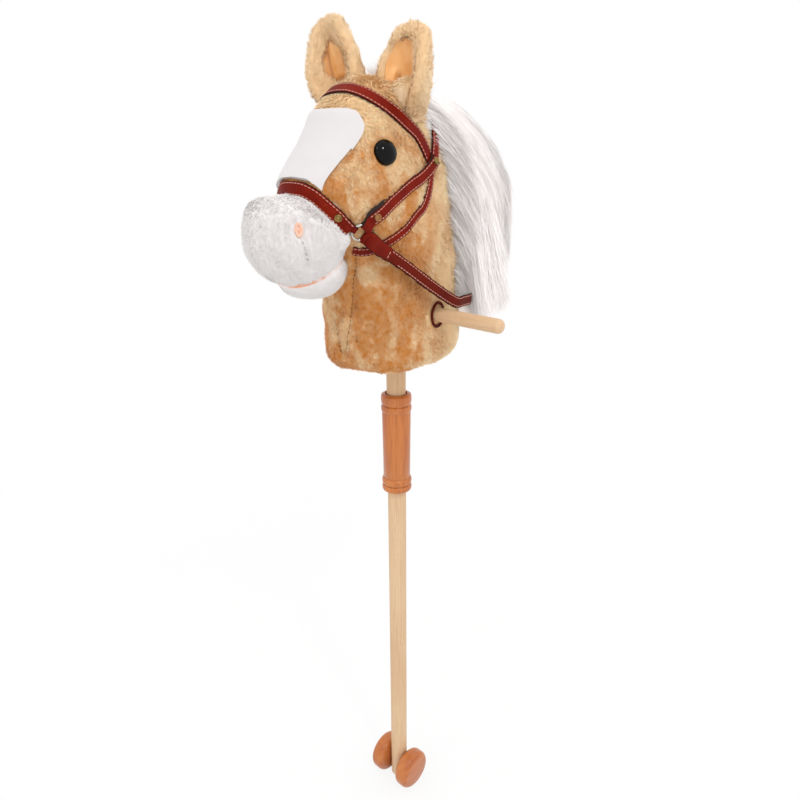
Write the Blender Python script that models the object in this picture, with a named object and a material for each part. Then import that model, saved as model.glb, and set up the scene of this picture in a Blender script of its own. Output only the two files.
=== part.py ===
"""A hobby horse on a pole: a stuffed plush head with a bridle and a rein, a cross handle through
its neck, a turned grip where the two lengths of pole meet, and a pair of wooden wheels.

Metres, +Z up. The origin is where the pole's axis crosses the handle's axis. The horse looks along
-Y, and its left side is +X, so the handle and the wheels' axle lie along X."""

import math

import bmesh
import bpy
from mathutils import Matrix, Vector

# Clearance that touching pieces keep, and what the plush pile keeps straps and trims off the skin
GAP = 0.0003
PILE = 0.0008

# Pole and handle
POLE_DIAMETER = 0.021
POLE_ABOVE_HANDLE = 0.115
POLE_END_CHAMFER = 0.0015
HANDLE_DIAMETER = 0.014
HANDLE_LENGTH = 0.263
HANDLE_END_ROUNDING = 0.005
HANDLE_ABOVE_FLOOR = 0.664

# Wheels and axle
WHEEL_DIAMETER = 0.050
WHEEL_WIDTH = 0.020
WHEEL_ROUNDING = 0.007
WHEEL_CROWN = 0.0008
WHEEL_PLAY = 0.0006
AXLE_DIAMETER = 0.006
AXLE_DEPTH_IN_WHEEL = 0.013
POLE_BELOW_AXLE = 0.021

# Turned grip, from its top downwards
GRIP_TOP = -0.0955
GRIP_LENGTH = 0.118
GRIP_DIAMETER = 0.0318
GRIP_FOOT_DIAMETER = 0.0304
BEAD_DIAMETER = 0.0338
BEAD_HEIGHTS = (0.0130, 0.0085)
FOOT_BEAD_HEIGHTS = (0.0085, 0.0080)
GROOVE_DEPTH = 0.0010
GRIP_FOOT_WALL_SHARE = 0.8
GRIP_RECESS_GAP = 0.0015
GRIP_RECESS_DEPTH = 0.0030
GRIP_FOOT_ROUNDING = 0.0050
POLE_JOINT_BELOW_GRIP_TOP = 0.060

# Plush body: height, front, back and half width of the neck and head, and how square a section is
BODY_SECTIONS = (
    (-0.036, -0.077, 0.071, 0.0550),
    (0.006, -0.0785, 0.071, 0.0540),
    (0.050, -0.086, 0.070, 0.0530),
    (0.078, -0.104, 0.068, 0.0540),
    (0.100, -0.122, 0.066, 0.0545),
    (0.122, -0.127, 0.063, 0.0530),
    (0.140, -0.115, 0.056, 0.0515),
    (0.157, -0.100, 0.046, 0.0485),
    (0.175, -0.089, 0.036, 0.0440),
    (0.193, -0.082, 0.025, 0.0410),
    (0.213, -0.076, 0.013, 0.0380),
)
BODY_SQUARENESS = 2.35
BODY_SIDES = 36
NECK_BOTTOM = -0.052
NECK_BOTTOM_ROUNDING = 0.016
NECK_TOP = 0.060
HEAD_DOME_START = 0.175
HEAD_TOP = 0.213

# Muzzle, chin and what is sewn on them: centres and half sizes
MUZZLE_CENTRE = (0, -0.129, 0.082)
MUZZLE_HALF = (0.0430, 0.0430, 0.0400)
CHIN_CENTRE = (0, -0.113, 0.053)
CHIN_HALF = (0.0300, 0.0320, 0.0250)
LIP_THICKNESS = 0.0025
LIP_PROUD = 0.0015
NOSTRIL_TURN = 56
NOSTRIL_RISE = 17
NOSTRIL_HALF = (0.0034, 0.0060, 0.0018)

# White patch on the face
BLAZE_HALF_WIDTH = 0.034
BLAZE_FOOT_HALF_WIDTH = 0.0265
BLAZE_FOOT_SHARE = 0.85
BLAZE_TOP = 0.183
BLAZE_CORNER = 0.014
BLAZE_THICKNESS = 0.0016
BLAZE_OVER_PILE = 0.0014
BLAZE_LIFT = PILE + BLAZE_OVER_PILE
BLAZE_ABOVE_NOSEBAND = 0.0009

# Eyes: the place on the body is a turn from the front and a height
EYE_PLACE = (67, 0.150)
EYE_DIAMETER = 0.0215
EYE_DOME = 0.0065
EYE_SEAT = 0.0018
EYE_STEM_DIAMETER = 0.005
EYE_STEM_LENGTH = 0.015
WASHER_DIAMETER = 0.018
WASHER_THICKNESS = 0.0018
WASHER_DEPTH = 0.0060

# Ears: base and tip, the base inside the head, then shares of the length and of the width
EAR_BASES = {"left": (0.036, -0.012, 0.182), "right": (0.037, -0.010, 0.184)}
EAR_TIPS = {"left": (0.050, -0.022, 0.252), "right": (0.060, -0.026, 0.262)}
EAR_WIDTH = 0.047
EAR_THICKNESS = 0.0060
EAR_LINING_THICKNESS = 0.0012
EAR_LINING_GAP = 0.0007
EAR_LINING_TRIM = 8
EAR_OUTLINE = ((0, 0.50), (0.16, 0.78), (0.36, 1.00), (0.55, 0.99), (0.80, 0.81), (0.93, 0.55), (1, 0.28))
EAR_CURL = ((0, 100), (0.35, 80), (0.70, 62), (1, 40))
EAR_FACING = (-0.12, -1.0, 0.1)

# Mane behind the neck: height, inner edge, outer edge and half width, and the tuft between the ears
MANE_SECTIONS = (
    (-0.042, 0.100, 0.132, 0.018),
    (-0.028, 0.090, 0.152, 0.027),
    (0.000, 0.087, 0.174, 0.033),
    (0.020, 0.087, 0.180, 0.035),
    (0.050, 0.060, 0.185, 0.037),
    (0.100, 0.050, 0.183, 0.037),
    (0.150, 0.030, 0.155, 0.034),
    (0.185, 0.018, 0.106, 0.028),
    (0.199, 0.014, 0.076, 0.018),
)
FORELOCK_CENTRE = (0, -0.022, 0.212)
FORELOCK_HALF = (0.0095, 0.0170, 0.0160)

# Bridle straps, and the lift of the middle of each layer over the plush
STRAP = 0.0016
BROWBAND_WIDTH = 0.012
CROWN_WIDTH = 0.011
CHEEK_WIDTH = 0.0105
JAW_WIDTH = 0.0085
NOSEBAND_WIDTH = 0.012
REIN_WIDTH = 0.0105
REIN_START_WIDTH = 0.0120
LOOP_WIDTH = 0.0056
REIN_LOOP_WIDTH = 0.0062
LOOP_START = -30
LOOP_END = 180
RING_PLACE = (44.4, 0.0878)
RING_RADIUS = 0.0072
RING_WIRE = 0.0020
FIRST_LAYER = PILE + STRAP / 2
SECOND_LAYER = FIRST_LAYER + STRAP + GAP
THIRD_LAYER = SECOND_LAYER + STRAP + GAP
RING_LIFT = FIRST_LAYER + STRAP / 2 + GAP + RING_WIRE / 2
KEEPER_HUMP = 0.0020
OVER_KEEPER = THIRD_LAYER + KEEPER_HUMP
FURROW_DEPTH = 0.016

# Routes over the plush, each point a turn in degrees from the front, a height and a lift
BROWBAND_ROUTE = (
    (0, 0.2005, FIRST_LAYER), (20, 0.1995, FIRST_LAYER), (42, 0.1955, FIRST_LAYER),
    (62, 0.1885, FIRST_LAYER), (78, 0.1790, FIRST_LAYER), (89, 0.1685, FIRST_LAYER),
    (95, 0.1570, FIRST_LAYER), (100, 0.1430, FIRST_LAYER),
)
CROWN_ROUTE = (
    (180, 0.2030, FIRST_LAYER), (150, 0.1980, FIRST_LAYER), (124, 0.1820, FIRST_LAYER),
    (113, 0.1680, SECOND_LAYER), (107, 0.1540, SECOND_LAYER), (102, 0.1400, SECOND_LAYER),
)
JAW_ROUTE = (
    (101, 0.1345, FIRST_LAYER), (99, 0.1210, FIRST_LAYER), (92, 0.1030, FIRST_LAYER),
    (81, 0.0890, FIRST_LAYER), (69, 0.0805, FIRST_LAYER), (59, 0.0755, FIRST_LAYER),
    (45, 0.0700, FIRST_LAYER), (36, 0.0692, FIRST_LAYER), (30, 0.0705, FIRST_LAYER),
)
NOSEBAND_ROUTE = (
    (0, 0.1225, FIRST_LAYER), (10, 0.1215, FIRST_LAYER), (19.5, 0.1168, FIRST_LAYER),
    (26, 0.1112, SECOND_LAYER), (31, 0.1055, THIRD_LAYER), (35.5, 0.0987, THIRD_LAYER),
    (39.2, 0.0923, OVER_KEEPER),
)
CHEEK_ROUTE = (
    (103.5, 0.1430, THIRD_LAYER), (99, 0.1375, THIRD_LAYER), (92, 0.1280, SECOND_LAYER),
    (84, 0.1190, FIRST_LAYER), (73, 0.1090, FIRST_LAYER), (64, 0.1015, SECOND_LAYER),
    (55, 0.0957, SECOND_LAYER),
)
KEEPER_ROUTE = ((31, 0.1055, SECOND_LAYER), (36.5, 0.0975, SECOND_LAYER))
CHEEK_TAIL = ((57, 0.0962), (64, 0.1015))
KEEPER_TAIL = ((36.5, 0.0975), (31, 0.1055))
CROWN_RIVET_PLACE = (101.5, 0.1415)
CHEEK_RIVET_PLACE = (60.5, 0.0990)
NOSEBAND_RIVET_PLACE = (34.2, 0.1010)
RIVET_DIAMETER = 0.0066
RIVET_HEAD = 0.0012
RIVET_SHANK = 0.0026

# Rein: places that its middle passes on the left side, from behind the neck to the ring, and
# the length of the end that is folded back under it
REIN_ROUTE = (
    (0.0000, 0.0795, 0.0060),
    (0.0280, 0.0770, 0.0065),
    (0.0510, 0.0630, 0.0080),
    (0.0650, 0.0420, 0.0100),
    (0.0725, 0.0200, 0.0128),
    (0.0735, 0.0040, 0.0150),
    (0.0680, -0.0240, 0.0330),
    (0.0600, -0.0550, 0.0560),
    (0.0530, -0.0812, 0.0742),
)
REIN_TAIL = 0.005
REIN_START = 0.014

# Trimmed slots where the handle leaves the neck: half sizes along Y and Z
SLOT_OUTER = (0.0105, 0.0135)
SLOT_INNER = (0.0078, 0.0100)
SLOT_THICKNESS = 0.0022

# How finely round things are faceted
TURNED_SIDES = 24
SMALL_SIDES = 12
EYE_SIDES = 20

AXLE_HEIGHT = -HANDLE_ABOVE_FLOOR + WHEEL_DIAMETER / 2
POLE_FOOT = AXLE_HEIGHT - POLE_BELOW_AXLE
POLE_JOINT = GRIP_TOP - POLE_JOINT_BELOW_GRIP_TOP
SIDES = (("left", 1), ("right", -1))
UP = Vector((0, 0, 1))
LEFT = Vector((1, 0, 0))

# Colour, roughness and metallic value
FINISHES = {
    "beech": ((0.70, 0.52, 0.33), 0.55, 0.0),
    "varnished_wood": ((0.60, 0.26, 0.09), 0.25, 0.0),
    "tan_plush": ((0.80, 0.52, 0.24), 0.95, 0.0),
    "white_plush": ((0.86, 0.84, 0.84), 0.95, 0.0),
    "white_hair": ((0.88, 0.86, 0.86), 0.80, 0.0),
    "satin": ((0.85, 0.45, 0.17), 0.45, 0.0),
    "felt": ((0.88, 0.42, 0.28), 0.90, 0.0),
    "strap": ((0.25, 0.035, 0.018), 0.45, 0.0),
    "steel": ((0.72, 0.72, 0.70), 0.25, 1.0),
    "brass": ((0.50, 0.38, 0.20), 0.30, 1.0),
    "black_gloss": ((0.010, 0.009, 0.009), 0.06, 0.0),
    "nylon": ((0.80, 0.80, 0.76), 0.50, 0.0),
}


def clear_scene():
    for thing in list(bpy.data.objects):
        bpy.data.objects.remove(thing, do_unlink=True)


def finish(name, kind):
    """A material of its own for each object."""
    colour, roughness, metallic = FINISHES[kind]
    material = bpy.data.materials.new(name)
    material.use_nodes = True
    shader = material.node_tree.nodes["Principled BSDF"]
    shader.inputs["Base Color"].default_value = (*colour, 1)
    shader.inputs["Roughness"].default_value = roughness
    shader.inputs["Metallic"].default_value = metallic
    return material


def add(name, kind, bm, sharp=35):
    """Turns a bmesh into an object with its faces outwards. A kind of None makes a cutter."""
    bmesh.ops.recalc_face_normals(bm, faces=bm.faces)
    mesh = bpy.data.meshes.new(name)
    bm.to_mesh(mesh)
    bm.free()
    thing = bpy.data.objects.new(name, mesh)
    bpy.context.scene.collection.objects.link(thing)
    if kind is None:
        thing.hide_render = True
        thing.display_type = "WIRE"
        return thing
    mesh.shade_smooth()
    mesh.set_sharp_from_angle(angle=math.radians(sharp))
    mesh.materials.append(finish(name, kind))
    return thing


def cut(thing, *cutters, operation="DIFFERENCE"):
    for cutter in cutters:
        modifier = thing.modifiers.new(cutter.name, "BOOLEAN")
        modifier.operation = operation
        modifier.object = cutter
        modifier.solver = "EXACT"


def steps(count):
    """Evenly spaced values from 0 to 1."""
    return [i / count for i in range(count + 1)]


def smooth(stations, at, column=1):
    """The value at `at` on a smooth curve through rows of (place, value, ...), which never
    overshoots between two rows."""
    places = [row[0] for row in stations]
    values = [row[column] for row in stations]
    at = min(max(at, places[0]), places[-1])
    slopes = [(b - a) / (q - p) for a, b, p, q in zip(values, values[1:], places, places[1:])]
    bends = [slopes[0]]
    for before, after in zip(slopes, slopes[1:]):
        turning = before * after <= 0
        bends.append(0 if turning else 2 * before * after / (before + after))
    bends.append(slopes[-1])
    k = max(i for i in range(len(places) - 1) if places[i] <= at)
    span = places[k + 1] - places[k]
    t = (at - places[k]) / span
    return (
        values[k] * (1 + 2 * t) * (1 - t) ** 2
        + bends[k] * span * t * (1 - t) ** 2
        + values[k + 1] * t * t * (3 - 2 * t)
        - bends[k + 1] * span * t * t * (1 - t)
    )


def through(points, per_span):
    """Points on a smooth curve through the given ones."""
    rows = [Vector(p) for p in points]
    rows = [2 * rows[0] - rows[1], *rows, 2 * rows[-1] - rows[-2]]
    found = []
    for a, b, c, d in zip(rows, rows[1:], rows[2:], rows[3:]):
        for i in range(per_span):
            t = i / per_span
            bend = (2 * a - 5 * b + 4 * c - d) * t * t + (3 * b - a - 3 * c + d) * t**3
            found.append(0.5 * (2 * b + (c - a) * t + bend))
    return [*found, rows[-2]]


def body_section(height):
    """Middle, half depth and half width of the plush body's section."""
    front, back, half_width = (smooth(BODY_SECTIONS, height, k) for k in (1, 2, 3))
    middle, half_depth = (front + back) / 2, (back - front) / 2
    over = (height - HEAD_DOME_START) / (HEAD_TOP - HEAD_DOME_START)
    if over > 0:
        share = math.sqrt(max(0.0, 1 - over**2))
        half_depth *= share
        half_width *= share
    short = min(NECK_BOTTOM + NECK_BOTTOM_ROUNDING - height, NECK_BOTTOM_ROUNDING)
    if short > 0:
        inset = NECK_BOTTOM_ROUNDING - math.sqrt(NECK_BOTTOM_ROUNDING**2 - short**2)
        half_depth -= inset
        half_width -= inset
    return middle, half_depth, half_width


def body_point(turn, height):
    """A point of the plush body's skin. turn is in degrees from the front towards the left."""
    middle, half_depth, half_width = body_section(height)
    s, c = math.sin(math.radians(turn)), math.cos(math.radians(turn))
    power = 2 / BODY_SQUARENESS
    across = math.copysign(abs(s) ** power, s)
    along = math.copysign(abs(c) ** power, c)
    return Vector((half_width * across, middle - half_depth * along, height))


def body_normal(turn, height):
    """The direction out of the skin, from the slope of the skin around a point."""
    near_turn, near_height = 1.0, 0.0004
    round_it = body_point(turn + near_turn, height) - body_point(turn - near_turn, height)
    up_it = body_point(turn, height + near_height) - body_point(turn, height - near_height)
    return round_it.cross(up_it).normalized()


def on_body(turn, height, lift):
    return body_point(turn, height) + body_normal(turn, height) * lift


def turn_at(x, height):
    """The turn at which the skin's front half is x from the middle plane."""
    share = min(1.0, abs(x) / body_section(height)[2]) ** (BODY_SQUARENESS / 2)
    return math.copysign(math.degrees(math.asin(share)), x)


def loft(rings, closed=False):
    """Skins rings of the same number of points, and closes the two ends unless they meet."""
    bm = bmesh.new()
    rows = [[bm.verts.new(p) for p in ring] for ring in rings]
    pairs = list(zip(rows, rows[1:]))
    if closed:
        pairs.append((rows[-1], rows[0]))
    for a, b in pairs:
        for i in range(len(a)):
            j = (i + 1) % len(a)
            bm.faces.new((a[i], a[j], b[j], b[i]))
    if not closed:
        bm.faces.new(rows[0])
        bm.faces.new(list(reversed(rows[-1])))
    return bm


def slab(inner, outer):
    """A closed sheet between two grids of points."""
    bm = bmesh.new()
    low = [[bm.verts.new(p) for p in row] for row in inner]
    high = [[bm.verts.new(p) for p in row] for row in outer]
    for grid in (low, high):
        for a, b in zip(grid, grid[1:]):
            for i in range(len(a) - 1):
                bm.faces.new((a[i], a[i + 1], b[i + 1], b[i]))
    rims = []
    for grid in (low, high):
        rims.append(grid[0] + [row[-1] for row in grid[1:-1]] + grid[-1][::-1]
                    + [row[0] for row in grid[-2:0:-1]])
    for i in range(len(rims[0])):
        j = (i + 1) % len(rims[0])
        bm.faces.new((rims[0][i], rims[0][j], rims[1][j], rims[1][i]))
    return bm


def turned(outline, sides, axis=UP, place=Vector(), closed=False):
    """A turned solid. The outline is (radius, distance along the axis). A closed outline goes
    round a bore, and an open one starts and ends in flat faces."""
    frame = axis.to_track_quat("Z", "Y").to_matrix()
    rings = []
    for radius, along in outline:
        ring = []
        for i in range(sides):
            angle = 2 * math.pi * i / sides
            spoke = Vector((radius * math.cos(angle), radius * math.sin(angle), along))
            ring.append(place + frame @ spoke)
        rings.append(ring)
    return loft(rings, closed)


def rod(radius, start, end, sides, chamfer=0.0):
    """A round bar between two points."""
    axis = end - start
    outline = [(radius, 0), (radius, axis.length)]
    if chamfer:
        outline = [(radius - chamfer, 0), (radius, chamfer)]
        outline += [(radius, axis.length - chamfer), (radius - chamfer, axis.length)]
    return turned(outline, sides, axis.normalized(), start)


def rounded_end(radius, rounding, end, count=4):
    """Outline points from a bar's side to its rounded end."""
    points = []
    for t in steps(count):
        angle = t * math.pi / 2
        points.append((radius - rounding * (1 - math.cos(angle)),
                       end - rounding * (1 - math.sin(angle))))
    return points


def ellipsoid(centre, half, grow=0.0, sides=28, rows=14):
    bm = bmesh.new()
    bmesh.ops.create_uvsphere(bm, u_segments=sides, v_segments=rows, radius=1)
    bmesh.ops.scale(bm, vec=Vector(half) + Vector((grow, grow, grow)), verts=bm.verts)
    bmesh.ops.translate(bm, vec=Vector(centre), verts=bm.verts)
    return bm


def body_rings(heights, lift=0.0):
    rings = []
    for height in heights:
        turns = [360 * i / BODY_SIDES for i in range(BODY_SIDES)]
        rings.append([on_body(turn, height, lift) for turn in turns])
    return rings


def ribbon(path, widths, thickness=STRAP):
    """A flat strap along a path of (point, direction out of its face)."""
    rings = []
    last = len(path) - 1
    for i, (point, out) in enumerate(path):
        along = path[min(i + 1, last)][0] - path[max(i - 1, 0)][0]
        across = along.cross(out).normalized()
        face = across.cross(along).normalized() * thickness / 2
        side = across * widths[i] / 2
        rings.append([point + side + face, point - side + face,
                      point - side - face, point + side - face])
    return loft(rings)


def body_path(route, per_span=4):
    """A strap's path over the plush through points of (turn, height, lift)."""
    path = []
    for turn, height, lift in through(route, per_span):
        path.append((on_body(turn, height, lift), body_normal(turn, height)))
    return path


def other_side(path):
    """The same path on the horse's right."""
    flip = Matrix.Diagonal((-1, 1, 1))
    return [(flip @ point, flip @ out) for point, out in path]


def across_middle(half):
    """A path that starts on the middle plane, with its mirror image joined before it."""
    return other_side(half)[:0:-1] + half


def narrowed(path, width, end_width, start, end):
    """Widths along a path that narrow from one place in it to another."""
    widths = []
    for i in range(len(path)):
        t = min(max((i - start) / (end - start), 0), 1)
        widths.append(width + (end_width - width) * t * t * (3 - 2 * t))
    return widths


def bit_ring_frame():
    """Centre and outward direction of the left bit ring."""
    return on_body(*RING_PLACE, RING_LIFT), body_normal(*RING_PLACE)


def ring_spoke(point):
    """The direction from the left bit ring's centre towards a point, in the ring's plane."""
    centre, out = bit_ring_frame()
    spoke = point - centre
    return (spoke - out * spoke.dot(out)).normalized()


def round_ring(last, width):
    """The path of a strap end of a given width that passes over the bit ring's wire and back under
    it, for a strap whose outer layer comes from a given point."""
    centre, out = bit_ring_frame()
    spoke = ring_spoke(last)
    wire = centre + spoke * RING_RADIUS
    reach = RING_WIRE / 2 + GAP + STRAP / 2
    curving_in = RING_RADIUS - math.sqrt(RING_RADIUS**2 - (width / 2) ** 2)
    path = []
    for t in steps(7):
        angle = math.radians(LOOP_START + (LOOP_END - LOOP_START) * t)
        over, inwards = out * math.cos(angle), spoke * -math.sin(angle)
        path.append((wire + over * reach + inwards * (reach + curving_in), over + inwards))
    return path


def looped(route, tail):
    """A strap that follows a route to the bit ring, goes round its wire and ends under itself."""
    outer = body_path(route)
    under = [(point, -out) for point, out in body_path([(*p, FIRST_LAYER) for p in tail])]
    return outer + round_ring(outer[-1][0], LOOP_WIDTH) + under, len(outer)


def poles():
    radius = POLE_DIAMETER / 2
    upper = add("upper_pole", "beech", rod(
        radius, UP * (POLE_JOINT + GAP / 2), UP * POLE_ABOVE_HANDLE, TURNED_SIDES,
        POLE_END_CHAMFER))
    lower = add("lower_pole", "beech", rod(
        radius, UP * POLE_FOOT, UP * (POLE_JOINT - GAP / 2), TURNED_SIDES, POLE_END_CHAMFER))
    handle_bore = add("handle_bore", None, rod(
        HANDLE_DIAMETER / 2 + GAP, -LEFT * HANDLE_LENGTH, LEFT * HANDLE_LENGTH, TURNED_SIDES))
    centre = UP * AXLE_HEIGHT
    axle_bore = add("axle_bore", None, rod(
        AXLE_DIAMETER / 2 + GAP, centre - LEFT * POLE_DIAMETER, centre + LEFT * POLE_DIAMETER,
        SMALL_SIDES))
    cut(upper, handle_bore)
    cut(lower, axle_bore)
    return handle_bore


def handle():
    end = rounded_end(HANDLE_DIAMETER / 2, HANDLE_END_ROUNDING, HANDLE_LENGTH / 2)
    outline = [(radius, -along) for radius, along in reversed(end)] + end
    add("handle", "beech", turned(outline, 24, LEFT))


def wheels():
    """Two wheels glued on an axle that turns in the pole's foot. Their origins lie on its axis."""
    inner = POLE_DIAMETER / 2 + WHEEL_PLAY
    reach = inner + AXLE_DEPTH_IN_WHEEL
    radius, outer = WHEEL_DIAMETER / 2, inner + WHEEL_WIDTH
    rim = rounded_end(radius, WHEEL_ROUNDING, outer)
    back = [(r, inner + outer - along) for r, along in reversed(rim)]
    bore = AXLE_DIAMETER / 2 + GAP
    outline = [(bore, reach + GAP), (bore, inner), *back, *rim, (radius / 3, outer + WHEEL_CROWN)]
    pieces = [add("axle", "steel", rod(AXLE_DIAMETER / 2, -LEFT * reach, LEFT * reach, SMALL_SIDES))]
    for side, sign in SIDES:
        bm = turned(outline, TURNED_SIDES, LEFT * sign)
        pieces.append(add(f"wheel_{side}", "varnished_wood", bm))
    for piece in pieces:
        piece.location = UP * AXLE_HEIGHT


def bead(top, height, base, crest, count=4):
    """Outline points of one rounded ring on the grip, from its top to its bottom."""
    points = []
    for t in steps(count):
        rise = math.sqrt(max(0.0, 1 - (2 * t - 1) ** 2))
        points.append((base + (crest - base) * rise, top - height * t))
    return points


def grip():
    """The turned grip that sleeves the joint of the two poles, with two beads at each end."""
    bore, recess = POLE_DIAMETER / 2 + GAP, POLE_DIAMETER / 2 + GRIP_RECESS_GAP
    base, foot, crest = GRIP_DIAMETER / 2, GRIP_FOOT_DIAMETER / 2, BEAD_DIAMETER / 2
    groove = base - GROOVE_DEPTH
    first, second = BEAD_HEIGHTS
    third, fourth = FOOT_BEAD_HEIGHTS
    bottom = GRIP_TOP - GRIP_LENGTH
    body_foot = bottom + third + fourth
    outline = [(bore, GRIP_TOP - GRIP_RECESS_DEPTH), (recess, GRIP_TOP - GRIP_RECESS_DEPTH)]
    outline += [(recess, GRIP_TOP)]
    outline += bead(GRIP_TOP, first, groove, crest)[1:]
    outline += bead(GRIP_TOP - first, second, groove, crest)[1:-1]
    outline += [(base, GRIP_TOP - first - second)]
    outline += bead(body_foot, third, foot, crest)[:-1]
    outline += bead(body_foot - third, fourth, foot, crest)[:-1]
    inset = min(GRIP_FOOT_ROUNDING / 2, GRIP_FOOT_WALL_SHARE * (foot - bore))
    outline += [(foot - inset, bottom), (bore, bottom)]
    add("grip", "varnished_wood", turned(outline, TURNED_SIDES, closed=True))


def eye_seat(side, place, out):
    """The cutter of one eye's seat, stem hole and washer pocket."""
    seat, stem = EYE_DIAMETER / 2 + GAP, EYE_STEM_DIAMETER / 2 + GAP
    washer = WASHER_DIAMETER / 2 + GAP
    pocket_top, pocket_bottom = GAP - WASHER_DEPTH, -WASHER_DEPTH - WASHER_THICKNESS - GAP
    outline = [
        (stem, -EYE_STEM_LENGTH - GAP), (stem, pocket_bottom), (washer, pocket_bottom),
        (washer, pocket_top), (stem, pocket_top), (stem, -EYE_SEAT - GAP),
        (seat, -EYE_SEAT - GAP), (seat, EYE_DOME),
    ]
    return add(f"eye_seat_{side}", None, turned(outline, EYE_SIDES, out, place))


def eyes():
    """Domed eyes on stems, each held by a washer inside the stuffing. Returns their cutters."""
    radius, stem = EYE_DIAMETER / 2, EYE_STEM_DIAMETER / 2
    steepest = math.radians(84)
    dome = [(radius * math.cos(t * steepest), EYE_DOME * math.sin(t * steepest)) for t in steps(4)]
    outline = [(stem, -EYE_STEM_LENGTH), (stem, -EYE_SEAT), (radius, -EYE_SEAT), *dome]
    top, bottom = -WASHER_DEPTH, -WASHER_DEPTH - WASHER_THICKNESS
    hole, edge = stem + GAP, WASHER_DIAMETER / 2
    washer = [(hole, bottom), (edge, bottom), (edge, top), (hole, top)]
    cutters = []
    for side, sign in SIDES:
        turn, height = EYE_PLACE[0] * sign, EYE_PLACE[1]
        place, out = body_point(turn, height), body_normal(turn, height)
        add(f"eye_{side}", "black_gloss", turned(outline, EYE_SIDES, out, place))
        add(f"eye_washer_{side}", "nylon", turned(washer, SMALL_SIDES, out, place, closed=True))
        cutters.append(eye_seat(side, place, out))
    return cutters


def neck_and_head(handle_bore, eye_seats):
    """The two stuffed halves of the body, bored for the pole and the handle. Returns a cutter of
    the whole body, a clearance larger than it."""
    curve = [NECK_BOTTOM + NECK_BOTTOM_ROUNDING * (1 - math.cos(t * math.pi / 2)) for t in steps(3)]
    straight = [curve[-1] + (NECK_TOP - curve[-1]) * t for t in steps(9)]
    side = [NECK_TOP + GAP + (HEAD_DOME_START - NECK_TOP - GAP) * t for t in steps(13)]
    rise = HEAD_TOP - HEAD_DOME_START
    dome = [HEAD_DOME_START + rise * math.sin(t * math.radians(86)) for t in steps(7)]
    low, high = curve[:-1] + straight, side[:-1] + dome
    neck = add("neck", "tan_plush", loft(body_rings(low)))
    head = add("head", "tan_plush", loft(body_rings(high)))
    pole_bore = add("pole_bore", None, rod(
        POLE_DIAMETER / 2 + GAP, UP * 2 * NECK_BOTTOM, UP * (POLE_ABOVE_HANDLE + GAP),
        TURNED_SIDES))
    cut(neck, pole_bore, handle_bore)
    cut(head, pole_bore, *eye_seats)
    return add("body_cutter", None, loft(body_rings(low[:-1] + high, GAP)))


def nostrils():
    """Oval felt pads let into the muzzle. Returns the cutters of their seats."""
    turn, rise = math.radians(NOSTRIL_TURN), math.radians(NOSTRIL_RISE)
    cutters = []
    for side, sign in SIDES:
        spoke = Vector((sign * math.cos(rise) * math.sin(turn), -math.cos(rise) * math.cos(turn),
                        math.sin(rise)))
        half = Vector(MUZZLE_HALF)
        out = Vector([spoke[k] / half[k] for k in range(3)])
        spot = Matrix.Translation(Vector(MUZZLE_CENTRE) + spoke * half)
        spot = spot @ out.to_track_quat("Z", "Y").to_matrix().to_4x4()
        pad, seat = (ellipsoid((0, 0, 0), NOSTRIL_HALF, grow, 14, 8) for grow in (0, GAP))
        pad.transform(spot)
        seat.transform(spot)
        add(f"nostril_{side}", "felt", pad)
        cutters.append(add(f"nostril_seat_{side}", None, seat))
    return cutters


def face(body_cutter):
    """Muzzle, chin and the lining of the mouth between them, each cut by what it is sewn to and
    by the straps that press into it."""
    muzzle = add("muzzle", "white_plush", ellipsoid(MUZZLE_CENTRE, MUZZLE_HALF))
    middle_of_furrow = PILE - GAP + FURROW_DEPTH / 2
    path = across_middle(body_path([(turn, height, middle_of_furrow)
                                    for turn, height, _ in NOSEBAND_ROUTE]))
    furrow = add("noseband_furrow", None, ribbon(
        path, [NOSEBAND_WIDTH + 2 * GAP] * len(path), FURROW_DEPTH))
    cut(muzzle, body_cutter, *nostrils(), furrow)
    grown = {"muzzle_snug": GAP, "muzzle_lip": GAP + LIP_THICKNESS,
             "muzzle_clear": 2 * GAP + LIP_THICKNESS}
    snug, lip, clear = (add(name, None, ellipsoid(MUZZLE_CENTRE, MUZZLE_HALF, grow))
                        for name, grow in grown.items())
    chin = add("chin", "white_plush", ellipsoid(CHIN_CENTRE, CHIN_HALF, 0, 24, 12))
    lining = add("mouth_lining", "felt", ellipsoid(CHIN_CENTRE, CHIN_HALF, LIP_PROUD, 18, 9))
    cut(chin, body_cutter, clear)
    cut(lining, lip, operation="INTERSECT")
    cut(lining, snug, body_cutter)


def noseband_edge(turn):
    """The height at which the skin comes clear of the noseband's upper edge."""
    turn = abs(turn)
    band_height = smooth(NOSEBAND_ROUTE, turn)
    middle = body_point(turn, band_height)
    along = body_point(turn + 1, smooth(NOSEBAND_ROUTE, turn + 1)) - middle
    up = (body_point(turn, band_height + 0.001) - middle).normalized()
    reach = (NOSEBAND_WIDTH / 2 + BLAZE_ABOVE_NOSEBAND) / up.cross(along.normalized()).length
    return band_height + reach * up.z


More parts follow.
